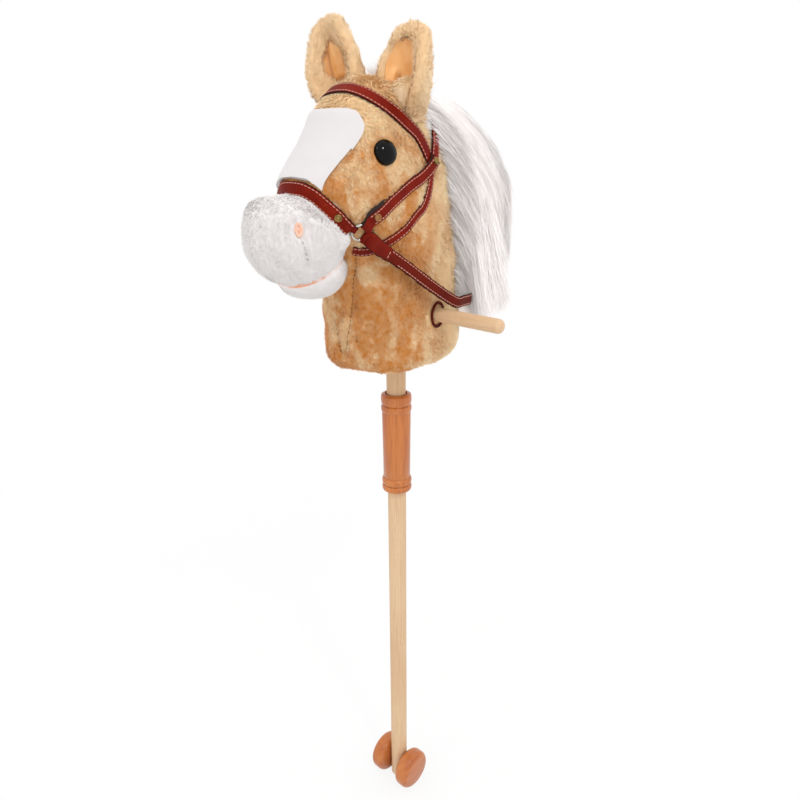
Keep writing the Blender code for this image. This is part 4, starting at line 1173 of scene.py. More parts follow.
def grow_pile(name, skin, finish, slot, keep, seed, per_square, length, comb=(0, 0, -1), lean=1.7,
              clump=9, stray=0.4, pull=0.45):
    """Pile of small curved blades, three faces each, drawn together in locks. keep gives the
    share of the length that each place keeps, and none under 0.05."""
    places, outs = skin.roots(per_square, seed)
    share = keep(places)
    places, outs, share = places[share > 0.05], outs[share > 0.05], share[share > 0.05]
    draw = np.random.default_rng(seed + 100)
    count = len(places)
    down = np.asarray(comb, float) - outs * dot(outs, np.asarray(comb, float))
    down = unit(down + 0.001 * np.cross(outs, LEFT))
    side = np.cross(outs, down)
    angle = (0.8 * swell(places, 0.055, seed) + 0.5 * swell(places, 0.017, seed + 7)
             + draw.normal(0, stray, count))[:, None]
    lay = down * np.cos(angle) + side * np.sin(angle)
    reach = (length * share * draw.uniform(0.7, 1.15, count))[:, None]
    slant = lean * (1 + 0.2 * swell(places, 0.03, seed + 3)) * draw.uniform(0.6, 1.2, count)
    slant = slant[:, None]
    middle = places + reach * 0.5 * unit(outs + lay * slant * 0.6)
    tip = middle + reach * 0.55 * unit(outs * 0.75 + lay * slant * 1.1)
    centres = draw.choice(count, max(count // clump, 1), replace=False)
    nearest = centres[nearest_of(places[centres], places)]
    pull = draw.uniform(0.05, pull, count)[:, None]
    middle += (middle[nearest] - middle) * pull * 0.35
    tip += (tip[nearest] - tip) * pull
    lock = draw.uniform(size=count)[nearest] * 0.6 + draw.uniform(size=count) * 0.4
    stem = unit(tip - places)
    flat = unit(np.cross(stem, outs) + 0.3 * draw.normal(size=(count, 3)))
    flat = unit(flat - stem * dot(flat, stem))
    flat = np.where(dot(np.cross(flat, stem), outs) < 0, -flat, flat)
    half = flat * BLADE_WIDTH * draw.uniform(0.7, 1.2, count)[:, None] / 2
    sunk = places - outs * 0.0005
    points = np.stack((sunk - half, sunk + half, middle - half * 0.8, middle + half * 0.8, tip), 1)
    faces = np.array(((0, 1, 3), (0, 3, 2), (2, 3, 4)))
    shading = unit(outs * 2.4 + np.cross(flat, stem) * 0.45)
    rise = np.array((0, 0, 0.5, 0.5, 1.0))
    for number, start in enumerate(range(0, count, BLADES_IN_A_PIECE)):
        some = slice(start, start + BLADES_IN_A_PIECE)
        part = points[some]
        n = len(part)
        every = (faces[None] + 5 * np.arange(n)[:, None, None]).reshape(-1, 3)
        label = f"{name}_{number + 1}"
        mesh = from_arrays(label, part.reshape(-1, 3), every)
        mesh.shade_smooth()
        mesh.normals_split_custom_set_from_vertices(np.repeat(shading[some], 5, 0))
        piece(label, mesh, finish,
              numbers={"tip": np.tile(rise, n), "lock": np.repeat(lock[some], 5)})


def strands(name, paths, outs, widths, finish, slot, seed):
    """Hair as tapered flat strands along paths, an array of (strand, point, coordinate)."""
    draw = np.random.default_rng(seed)
    count, steps = paths.shape[:2]
    along = unit(np.gradient(paths, axis=1))
    flat = unit(np.cross(along, outs) + 0.25 * draw.normal(size=(count, 1, 3)))
    flat = unit(flat - along * dot(flat, along))
    flat = np.where(dot(np.cross(flat, along), outs) < 0, -flat, flat)
    taper = np.sin(np.pi * (0.22 + 0.75 * np.linspace(0, 1, steps))) ** 0.7
    half = flat * (widths[:, None] * taper)[..., None] / 2
    points = np.stack((paths - half, paths + half), 2).reshape(-1, 3)
    first = 2 * np.arange(steps - 1)
    one = np.stack((first, first + 1, first + 3, first + 2), -1)
    faces = (one[None] + 2 * steps * np.arange(count)[:, None, None]).reshape(-1, 4)
    mesh = from_arrays(name, points, faces)
    mesh.shade_smooth()
    shading = unit(outs * 3 + np.cross(flat, along) * 0.3)
    mesh.normals_split_custom_set_from_vertices(np.repeat(shading.reshape(-1, 3), 2, 0))
    tips = np.tile(np.repeat(np.linspace(0, 1, steps), 2), count)
    locks = np.repeat(draw.uniform(size=count), 2 * steps)
    return piece(name, mesh, finish, numbers={"tip": tips, "lock": locks})


def eye_seats():
    """The places of both eyes on the skin."""
    return [body_point(EYE_PLACE[0] * sign, EYE_PLACE[1]) for sign in (1, -1)]


def seam_lines(seam):
    """A seam's points on the skin, on the left and on the right."""
    line = through(seam, 14)
    return [body_point(line[:, 0] * sign, line[:, 1]) for sign in (1, -1)]


def body_skin(straps):
    """The stuffed neck and head as one skin, with seams, eye seats and a gathered foot."""
    curve = NECK_BOTTOM + NECK_BOTTOM_ROUNDING * (1 - np.cos(np.linspace(0, np.pi / 2, 10)))
    side = np.linspace(curve[-1], HEAD_DOME_START, 110)[1:]
    dome = HEAD_DOME_START + (HEAD_TOP - HEAD_DOME_START) * np.sin(
        np.radians(np.linspace(0, 88.5, 30)))[1:]
    heights = np.concatenate((curve, side, dome))
    turns = np.arange(0, 360, 2.25)
    grid = np.meshgrid(turns, heights)
    points, outs = body_point(*grid).reshape(-1, 3), body_normal(*grid).reshape(-1, 3)
    free = ease(obstacle_gap(points, straps), 0.001, 0.012)
    lift = free * (0.0011 * swell(points, 0.05, 5) + 0.0005 * swell(points, 0.021, 6))
    lift += (0.25 + 0.75 * free) * 0.00032 * swell(points, 0.0085, 8)
    for seam, deep, wide in ((NECK_SEAM, 0.0022, 0.0032), (CHEEK_SEAM, 0.0016, 0.0040)):
        for line in seam_lines(seam):
            lift -= deep * ridge(line_gap(points, line), 0, wide)
    for eye in eye_seats():
        gap = np.linalg.norm(points - eye, axis=1)
        lift -= 0.0008 * ridge(gap, EYE_DIAMETER / 2, 0.004)
        lift -= 0.0030 * (gap < EYE_DIAMETER / 2 - 0.002)
    rings = (points + outs * lift[:, None]).reshape(len(heights), len(turns), 3)
    foot = rings[0]
    angles = np.radians(turns)
    neck_hole = np.stack((NECK_HOLE_RADIUS * np.sin(angles), -NECK_HOLE_RADIUS * np.cos(angles),
                          np.full(len(turns), NECK_BOTTOM + NECK_HOLE_RISE)), -1)
    inner = []
    for share in (0.0, 0.03, 0.25, 0.5, 0.72, 0.88, 0.96):
        ring = neck_hole + (foot - neck_hole) * share
        ring[:, 2] = NECK_BOTTOM + NECK_HOLE_RISE * (1 - share) ** 2
        ring[:, 2] += 0.0006 * np.sin(14 * angles) * (1 - share)
        inner.append(ring)
    tucked = neck_hole + (0, 0, 2 * NECK_HOLE_RISE)
    return loft("stuffed_body", np.concatenate(([tucked], inner, rings)))


def press(points, path, width, soft=0.004):
    """Points pushed in under a strap that lies on them, with a soft shoulder each side."""
    line, outs = path
    along, across, face = frames(line, outs)
    nearest = nearest_of(line, points)
    offset = points - line[nearest]
    aside = np.abs(dot(offset, across[nearest]))[:, 0]
    beyond = np.abs(dot(offset, along[nearest]))[:, 0]
    height = dot(offset, face[nearest])[:, 0]
    share = (1 - ease(aside, width / 2, width / 2 + soft)) * (1 - ease(beyond, 0.002, 0.008))
    push = np.maximum(0, height + STRAP / 2 + STRAP_SINK) * share
    return points - face[nearest] * push[:, None]


def ball(centre, half, columns=128, rows=72):
    """Rings of an ellipsoid from bottom to top, and the directions out of it."""
    rise = np.radians(np.linspace(-88, 88, rows))[:, None]
    turn = np.radians(np.arange(columns) * 360 / columns)[None]
    spokes = np.stack(np.broadcast_arrays(np.cos(rise) * np.sin(turn), -np.cos(rise) * np.cos(turn),
                                          np.sin(rise)), -1)
    return centre + spokes * half, unit(spokes / half)


def nostril_frame(sign):
    """Centre of a nostril on the muzzle and the direction out of it there."""
    turn, rise = math.radians(NOSTRIL_TURN), math.radians(NOSTRIL_RISE)
    spoke = np.array((sign * math.cos(rise) * math.sin(turn), -math.cos(rise) * math.cos(turn),
                      math.sin(rise)))
    return MUZZLE_CENTRE + spoke * MUZZLE_HALF, unit(spoke / MUZZLE_HALF)


def muzzle_crease(sign):
    """The line on the muzzle from the nostril down to the mouth."""
    top, _ = nostril_frame(sign)
    low = MUZZLE_CREASE_FOOT * flip_of(sign)
    line = top + (low - top) * np.linspace(0.12, 1.0, 30)[:, None]
    spokes = unit((line - MUZZLE_CENTRE) / MUZZLE_HALF)
    return MUZZLE_CENTRE + spokes * MUZZLE_HALF, unit(spokes / MUZZLE_HALF)


def muzzle_skin():
    """The stuffed muzzle, gathered at the noseband, with a crease under each nostril."""
    rings, outs = ball(MUZZLE_CENTRE, MUZZLE_HALF)
    shape = rings.shape
    points, outs = rings.reshape(-1, 3), outs.reshape(-1, 3)
    lift = 0.0009 * swell(points, 0.045, 11) + 0.0004 * swell(points, 0.018, 12)
    lift += 0.00016 * swell(points, 0.008, 13) + 0.0024 * ease(points[:, 2], 0.085, 0.108)
    band = across_middle(body_path(NOSEBAND_ROUTE))
    lift += 0.0036 * ridge(line_gap(points, band[0]), 0.0095, 0.0055)
    for sign in (1, -1):
        line, _ = muzzle_crease(sign)
        lift -= 0.0020 * ridge(line_gap(points, line), 0, 0.003)
        spot, _ = nostril_frame(sign)
        lift -= 0.0022 * ridge(np.linalg.norm(points - spot, axis=1), 0, 0.005)
    points = points + outs * lift[:, None]
    points = press(points, band, NOSEBAND_WIDTH - 0.001, soft=0.0018)
    return loft("stuffed_muzzle", points.reshape(shape))


def chin_skin():
    """The stuffed chin, pressed in under the jaw straps."""
    rings, outs = ball(CHIN_CENTRE, CHIN_HALF, 112, 60)
    shape = rings.shape
    points, outs = rings.reshape(-1, 3), outs.reshape(-1, 3)
    points = points + outs * (0.0007 * swell(points, 0.03, 14))[:, None]
    for sign in (1, -1):
        points = press(points, on_side(body_path(JAW_ROUTE), sign), JAW_WIDTH)
    return loft("stuffed_chin", points.reshape(shape))


def mouth_piece():
    """The lining that shows between the lips: the chin's form grown, kept near the muzzle."""
    rings, _ = ball(CHIN_CENTRE, CHIN_HALF + LIP_PROUD, 160, 90)
    points = rings.reshape(-1, 3)
    spokes = points - MUZZLE_CENTRE
    reach = np.sqrt(((spokes / MUZZLE_HALF) ** 2).sum(-1))
    outside = (reach - 1) * np.linalg.norm(spokes, axis=1) / np.maximum(reach, 1e-6)
    inwards = ease(outside, LIP_THICKNESS, LIP_THICKNESS + 0.002)
    deeper = CHIN_CENTRE + (points - CHIN_CENTRE) * 0.86
    points = points + (deeper - points) * inwards[:, None]
    mesh = loft("mouth_lip", points.reshape(rings.shape))
    aside = np.abs(points[:, 0]) + 0.002 * swell(points, 0.006, 15)
    fade = np.clip(ease(aside, 0.024, 0.034) + 0.8 * ease(-aside, -0.011, -0.004), 0, 1) * 0.92
    piece("mouth_lip", mesh, felt("peach_lip", hue("F3B492"), hue("E0865C")),
          ["mouth_lining"], numbers={"fade": fade})


def nostril_pieces():
    """Oval felt pads with a raised rim and a slit darkened with painted shade."""
    for side, sign in SIDES:
        spot, out = nostril_frame(sign)
        turned = np.array(Vector(out).to_track_quat("Z", "Y").to_matrix())
        columns = 48
        angles = round_angles(columns)
        wide, tall, deep = NOSTRIL_HALF
        profile = ((0.02, -0.0010, 1), (0.18, -0.0011, 1), (0.42, -0.0003, 0.7),
                   (0.62, 0.0009, 0.15), (0.80, 0.0014, 0), (0.94, 0.0009, 0), (1.02, -0.0002, 0),
                   (0.96, -0.0014, 0), (0.5, -0.0017, 0), (0.02, -deep, 0))
        rings = []
        for share, rise, _ in profile:
            local = np.stack((wide * share * np.cos(angles), tall * share * np.sin(angles),
                              np.full(columns, rise)), -1)
            rings.append(spot + out * -0.0006 + local @ turned.T)
        mesh = loft(f"nostril_pad_{side}", rings)
        # Painted shade: the slit down the recessed middle of each pad is darkened.
        slit = ridge(np.cos(angles), 0, 0.45)
        dark = np.concatenate([slit * shade for _, _, shade in profile])
        piece(f"nostril_pad_{side}", mesh, NOSTRIL, [f"nostril_{side}"],
              numbers={"dark": dark * 0.75})


def noseband_edge(turn):
    """The height at which the skin comes clear of the noseband's upper edge."""
    turn = np.abs(turn)
    band_height = smooth(NOSEBAND_ROUTE, turn)
    middle = body_point(turn, band_height)
    along = unit(body_point(turn + 1, smooth(NOSEBAND_ROUTE, turn + 1)) - middle)
    up = unit(body_point(turn, band_height + 0.001) - middle)
    square = np.linalg.norm(np.cross(up, along), axis=-1)
    reach = (NOSEBAND_WIDTH / 2 + BLAZE_ABOVE_NOSEBAND) / square
    return band_height + reach * up[..., 2]


def blaze_half(share, height):
    """Half width of the blaze at a share of the way up and a height."""
    over = np.maximum(0, 1 - (BLAZE_TOP - height) / BLAZE_CORNER)
    widening = (BLAZE_HALF_WIDTH - BLAZE_FOOT_HALF_WIDTH) * np.minimum(1, share / BLAZE_FOOT_SHARE)
    return (BLAZE_FOOT_HALF_WIDTH + widening
            - BLAZE_CORNER * (1 - np.sqrt(np.maximum(0, 1 - over**2))))


def blaze_skin():
    """The white patch on the face, with rounded upper corners, that ends along the noseband."""
    rows = np.linspace(0, 1, 40)
    bottom = noseband_edge(np.array(0.0))
    heights = bottom + (BLAZE_TOP - bottom) * rows
    share = np.linspace(-1, 1, 61)
    x = blaze_half(rows, heights)[:, None] * share[None]
    turns = turn_at(x, np.repeat(heights[:, None], len(share), 1))
    drop = (bottom - noseband_edge(turns)) * (1 - rows[:, None])
    height = heights[:, None] - drop
    rim = np.minimum(1 - np.abs(share)[None], rows[::-1, None] * 2 + 0 * x)
    puff = 0.0010 * ease(rim, 0, 0.12)
    top = on_body(turns, height, BLAZE_LIFT + BLAZE_THICKNESS + puff - 0.0006)
    low = on_body(turns, height, np.full(x.shape, BLAZE_LIFT))
    rings = [np.concatenate((low[i], top[i][::-1])) for i in range(len(heights))]
    return loft("blaze_patch", rings, sharp=60)


def ear_section(side, sign, v, reaches, spread):
    """Points of one row of an ear: an arc at each given angle share and reach outside it."""
    flip = flip_of(sign)
    base, tip = np.array(EAR_BASES[side]) * flip, np.array(EAR_TIPS[side]) * flip
    facing = np.array(EAR_FACING) * flip
    along = tip - base
    forward = unit(facing - along * (facing @ along) / (along @ along))
    across = np.cross(unit(along), forward)
    half = EAR_WIDTH / 2 * smooth(EAR_OUTLINE, v)
    curl = math.radians(smooth(EAR_CURL, v))
    radius = half / math.sin(min(curl, math.pi / 2))
    middle = base + along * v + forward * radius
    angle = curl * spread
    return middle + ((across * np.sin(angle)[:, None] - forward * np.cos(angle)[:, None])
                     * (radius + reaches)[:, None])


def ear_window(side, u, v):
    """0 where an ear's lining shows and 1 on its padded rim, at a share u across and v up."""
    first, last, low, high = EAR_WINDOWS[side]
    across = np.maximum(1 - ease(u, first - 0.14, first + 0.10), ease(u, last - 0.10, last + 0.14))
    round_corner = 0.10 * (2 * (u - (first + last) / 2) / (last - first)) ** 2
    up = np.maximum(ease(v + round_corner, high - 0.05, high + 0.06),
                    1 - ease(v - round_corner, low - 0.07, low + 0.03))
    return np.clip(np.maximum(across, up), 0, 1)


def ear_rim(side, u, v):
    """How far the padded rim stands over an ear's inner face."""
    rounded = 1 - 0.35 * np.abs(u) ** 6
    return EAR_RIM_RISE * ear_window(side, u, v) * rounded * (1 - ease(v, 0.90, 1.03))


def ear_skin(side, sign):
    """A cupped ear with a thick padded rim. Its inner face is bare under the lining."""
    rows = np.concatenate((np.linspace(-0.06, 0.90, 64), np.linspace(0.912, 1.0, 14)))
    spread = np.linspace(-1, 1, 61)
    bend = np.radians(np.linspace(0, 180, 13))[1:-1]
    rings, bare = [], []
    for v in rows:
        thick = EAR_THICKNESS * (1 - 0.75 * ease(v, 0.93, 1.0))
        half = max(EAR_WIDTH / 2 * smooth(EAR_OUTLINE, v), 0.004)
        rise = ear_rim(side, spread, v)
        lumps = 0.0005 * np.sin(23 * v + 9 * spread) + 0.0004 * np.sin(41 * v - 13 * spread)
        ends = []
        for edge in (rise[-1], rise[0]):
            radius = (thick + edge) / 2
            ends.append((0.8 * radius * np.sin(bend) / half, -edge + radius * (1 + np.cos(bend))))
        angles = np.concatenate((spread, 1 + ends[0][0], spread[::-1], -1 - ends[1][0]))
        reaches = np.concatenate((thick + lumps, ends[0][1], -rise[::-1] + lumps[::-1] * (
            rise[::-1] > 0.002), ends[1][1][::-1]))
        rings.append(ear_section(side, sign, v, reaches, angles))
        inner = ear_window(side, spread[::-1], v) < 0.35
        bend_row = np.zeros(len(bend))
        bare.append(np.concatenate((np.zeros(len(spread)), bend_row, inner, bend_row)))
    return loft(f"stuffed_ear_{side}", rings), np.concatenate(bare)


def ear_folds(side, across, up):
    """How far an ear's satin stands up in folds over a row, and how much painted shade its creases
    get there.
    """
    if side == "right":
        main = 0.05 + 0.12 * (up - 0.5)
        fold = ridge(across, main, 0.34) * ease(up, 0.10, 0.30)
        folds = 0.0040 * fold + 0.0012 * ridge(across, 0.75, 0.2)
        valley_shade = ridge(across, main - 0.46, 0.07) * ease(0.92 - up, 0, 0.3)
        valley_shade += 0.7 * ridge(across, main + 0.42, 0.06) * ease(0.75 - up, 0, 0.3)
        valley_shade += 0.9 * ease(0.26 - up, 0, 0.10) * (np.abs(across) < 0.7)
    else:
        lip = ridge(across, 0.5 * up - 0.80, 0.15) * ease(0.48 - up, 0, 0.14)
        pleat = ridge(across, 0.30 + 0.9 * (up - 0.7), 0.10) * ease(up, 0.5, 0.9)
        folds = 0.0030 * lip + 0.0010 * np.sin(5 * across + 4 * up) + 0.0012 * pleat
        valley_shade = 0.9 * ridge(across, 0.5 * up - 0.52, 0.08) * ease(0.40 - up, 0, 0.12)
        valley_shade += 0.35 * ridge(across, 0.12 + 0.9 * (up - 0.7), 0.07) * ease(up, 0.55, 0.8)
        valley_shade += 0.6 * ease(0.16 - up, 0, 0.08)
    return folds, valley_shade


def ear_lining(side, sign):
    """The satin inside an ear: a soft bowl with folds, tucked in under the padded rim."""
    first, last, low, high = EAR_WINDOWS[side]
    first, last = max(first - 0.16, -0.97), last + 0.16
    rows = np.linspace(low - 0.10, high + 0.08, 64)
    columns = 81
    share = np.linspace(first, last, columns)
    across = np.linspace(-1, 1, columns)
    rings, creases = [], []
    for v in rows:
        up = (v - rows[0]) / (rows[-1] - rows[0])
        edge = (1 - across**6) * (1 - (2 * up - 1) ** 8)
        folds, valley_shade = ear_folds(side, across, up)
        height = EAR_LINING_GAP + edge * (folds + 0.0012)
        front = ear_section(side, sign, v, -height - EAR_LINING_THICKNESS, share)
        back = ear_section(side, sign, v, np.full(columns, -EAR_LINING_GAP), share)
        rings.append(np.concatenate((back, front[::-1])))
        # Painted shade where the lining tucks under the padded rim, added to the creases' painted
        # shade.
        under_rim_shade = ease(ear_window(side, share, v), 0.25, 0.8) * (np.abs(share) < 0.93)
        crease = np.clip(0.8 * valley_shade + 0.75 * under_rim_shade, 0, 1)
        creases.append(np.concatenate((crease, crease[::-1])))
    mesh = loft(f"ear_satin_{side}", rings, sharp=70)
    piece(f"ear_satin_{side}", mesh, SATIN, [f"ear_lining_{side}"],
          numbers={"crease": np.concatenate(creases)})


def mane_point(height, round_turn, share):
    """Places in the mane's outer form. round_turn is 0 straight back, in radians to the left."""
    inner, outer, half = (smooth(MANE_SECTIONS, height, k) for k in (1, 2, 3))
    middle, depth = (inner + outer) / 2, (outer - inner) / 2
    return np.stack((half * np.sin(round_turn) * share,
                     middle + depth * np.cos(round_turn) * share, height), -1)


def hair_locks(name, draw, count, roots, flow, finish):
    """Hair in loose locks. roots gives each lock's start and flow its course from there."""
    t = np.linspace(0, 1, 10)[None]
    locks = count // HAIRS_IN_A_LOCK
    member = draw.integers(0, locks, count)
    start = roots(locks)
    where = [row[member][:, None] for row in start]
    gather = 1 - 0.5 * t**1.5
    offset = draw.normal(0, 1, (2, count, 1)) * gather
    sway = draw.normal(0, 1, locks)[member][:, None]
    lift = draw.uniform(0, 1, locks)[member][:, None] ** 2
    length = (draw.uniform(0.75, 1.2, locks)[member] * draw.uniform(0.75, 1.1, count))[:, None]
    paths, outs = flow(t, where, offset, sway, lift, length)
    paths = paths + (draw.normal(0, 1, (count, 1, 3)) * 0.0012) * (t**2)[..., None]
    widths = HAIR_WIDTH * draw.uniform(0.7, 1.3, count)
    strands(name, paths, unit(outs), widths, finish, "white_hair", int(draw.integers(1000)))


def mane_strands(name, seed, turns, finish):
    """Hair over the mane's form, that falls down and back and stands off in wisps."""
    draw = np.random.default_rng(seed)

    def roots(locks):
        return draw.uniform(*MANE_ROOT_HEIGHTS, locks), draw.uniform(*turns, locks)

    def flow(t, where, offset, sway, lift, length):
        height0, turn0 = where
        fall = 0.058 * length * (0.35 + 0.65 * ease(0.205 - height0, 0, 0.05))
        fall = np.minimum(fall, height0 + 0.027)
        lift = lift * ease(0.198 - height0, 0, 0.03)
        height = height0 + 0.006 * offset[0] + 0.006 * np.sin(np.pi * t) - fall * t**1.2
        height = np.minimum(height, MANE_SECTIONS[-1][0])
        turn = turn0 + 0.09 * offset[1] - 0.16 * turn0 * t + 0.09 * sway * t**1.5
        share = 0.90 + 0.07 * t**0.7 + (0.01 + 0.13 * lift) * t**2
        paths = mane_point(height, turn, share)
        outs = np.stack((np.sin(turn), np.cos(turn), 0.3 + 0 * turn), -1)
        return paths, outs

    hair_locks(name, draw, MANE_HAIRS, roots, flow, finish)


def crest_strands(side, sign, finish):
    """Hair that starts beside the crest, lies back over the crown strap and joins the mane."""
    draw = np.random.default_rng(60 + sign)

    def roots(locks):
        return draw.uniform(*CREST_ROOT_HEIGHTS, locks), draw.uniform(*CREST_ROOT_TURNS, locks)

    def flow(t, where, offset, sway, lift, length):
        height0, turn0 = where
        upper = ease(height0, 0.125, 0.165)
        turn0 = np.where(upper < 0.5, np.maximum(turn0, 122), turn0)
        fall = np.minimum(0.050 * length, height0 + 0.020)
        height = height0 + 0.003 * offset[0] + 0.004 * np.sin(np.pi * t) - fall * t**1.3
        turn = turn0 + 3 * offset[1] + (26 * upper + 6 * sway) * t
        off = 0.0012 + (0.009 + 0.008 * lift) * t**0.8
        paths = on_body(turn * sign, height, off)
        paths[..., 1] += 0.020 * t**1.5
        outs = body_normal(turn * sign, height) + (0, 0.2, 0.3)
        return paths, outs

    hair_locks(f"crest_hair_{side}", draw, CREST_HAIRS, roots, flow, finish)


def rein_cover(side, sign, finish):
    """Hair that hangs over the rein where it goes round behind the neck."""
    draw = np.random.default_rng(70 + sign)

    def roots(locks):
        return draw.uniform(*REIN_COVER_ROOT_HEIGHTS, locks), draw.uniform(0, 1, locks)

    def flow(t, where, offset, sway, lift, length):
        height0, share = where
        first = np.stack((0.030 + 0 * share, 0.078 + 0.030 * share, height0), -1)
        over = np.stack((0.074 - 0.020 * share + 0.006 * lift, 0.036 + 0.080 * share,
                         0.022 + 0.01 * sway), -1)
        last = np.stack((0.072 - 0.022 * share + 0.012 * lift, 0.044 + 0.092 * share,
                         -0.010 + 0.005 * sway), -1)
        t3 = t[..., None] * np.minimum(length, 1.05)[..., None]
        paths = first * (1 - t3) ** 2 + 2 * over * t3 * (1 - t3) + last * t3**2
        paths = paths + 0.004 * np.stack((offset[1], offset[0], 0 * offset[0]), -1)
        paths[..., 0] *= sign
        outs = np.stack((sign + 0 * t * share, 0.2 + 0 * t * share, 0.3 + 0 * t * share), -1)
        return paths, outs

    hair_locks(f"mane_over_rein_{side}", draw, REIN_COVER_HAIRS, roots, flow, finish)


def mane_and_tuft():
    """The mane's filled form, hair over it, and the tuft between the ears."""
    finish = hair("mane_hair")
    heights = np.linspace(MANE_SECTIONS[0][0] + 0.012, MANE_SECTIONS[-1][0] - 0.002, 60)
    turns = np.radians(np.arange(0, 360, 4.5))
    rings = []
    for height in heights:
        groove = 1 + 0.012 * np.sin(17 * turns + 40 * height) + 0.008 * np.sin(31 * turns)
        rings.append(mane_point(np.full(len(turns), height), turns, 0.92 * groove))
    core = loft("mane_form", rings)
    n = len(heights) * len(turns)
    # The form's finish glows three times as strongly as the hair's: painted light that lifts the
    # shade inside the mane.
    piece("mane_form", core, hair("mane_form_painted_light", 0.15), ["mane"],
          numbers={"lock": np.random.default_rng(3).uniform(size=n)})
    fields = (("mane_left", (0.25, 2.5)), ("mane_back", (-0.6, 0.6)), ("mane_right", (-2.5, -0.25)))
    for seed, (name, turns) in enumerate(fields):
        for layer in (1, 2):
            mane_strands(f"{name}_{layer}", 40 + 3 * layer + seed, turns, finish)
    for side, sign in SIDES:
        crest_strands(side, sign, finish)
        rein_cover(side, sign, finish)
    tuft_strands(finish)


def tuft_strands(finish):
    """Short hair that stands up and falls back between the ears."""
    draw = np.random.default_rng(50)
    count, t = TUFT_HAIRS, np.linspace(0, 1, 8)[None]
    root = np.stack((draw.normal(0, 0.010, count), draw.uniform(-0.020, 0.022, count),
                     draw.uniform(*TUFT_ROOT_HEIGHTS, count)), -1)[:, None]
    aim = np.stack((draw.normal(0, 0.40, count), draw.normal(0.3, 0.45, count),
                    np.full(count, 1.0)), -1)[:, None]
    length = draw.uniform(0.016, 0.034, count)[:, None, None]
    fall = (0, 0.002, -0.006) * (t[..., None] ** 2)
    paths = root + unit(aim) * length * t[..., None] + fall
    outs = np.broadcast_to(unit(aim * (0.6, 0.6, 0) + (0, -0.5, 0.9)), paths.shape)
    tuft = strands("forelock_hair", paths, outs, np.full(count, HAIR_WIDTH), finish, "white_hair",
                   51)
    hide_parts("forelock")


def slot_trims():
    """Oval leather trims on the neck where the handle comes out."""
    widest = max(body_section(height)[2] for height in (-SLOT_OUTER[1], 0, SLOT_OUTER[1]))
    columns, rows = 64, 12
    angles = round_angles(columns)
    half_wide = [(outer - inner) / 2 for outer, inner in zip(SLOT_OUTER, SLOT_INNER)]
    for side, sign in SIDES:
        rings = []
        for angle in round_angles(rows):
            along = [i + w * (1 + math.cos(angle)) for i, w in zip(SLOT_INNER, half_wide)]
            x = widest + GAP + SLOT_THICKNESS / 2 * (1 + math.sin(angle))
            rings.append(np.stack((np.full(columns, sign * x), along[0] * np.cos(angles),
                                   along[1] * np.sin(angles)), -1))
        name = f"slot_trim_{side}"
        mesh = loft(name, rings, closed=True)
        piece(name, mesh, LEATHER, [f"handle_slot_{side}"],
              numbers={"edge": np.full(rows * columns, 0.93)})


def seam_threads():
    """Dark stitches in the plush's seams and in the crease under each nostril."""
    for side, sign in SIDES:
        line = through(NECK_SEAM, 14)
        points = on_body(line[:, 0] * sign, line[:, 1], np.full(len(line), -0.0008))
        outs = body_normal(line[:, 0] * sign, line[:, 1])
        mesh = stitch_mesh(f"neck_seam_{side}", points, outs, (0.0,), 0.0, **NECK_STITCHES)
        piece(f"neck_seam_{side}", mesh, DARK_THREAD)
        points, outs = muzzle_crease(sign)
        mesh = stitch_mesh(f"muzzle_seam_{side}", points - outs * 0.0016, outs, (0.0,), 0.0,
                           **MUZZLE_STITCHES)
        piece(f"muzzle_seam_{side}", mesh, GREY_THREAD)


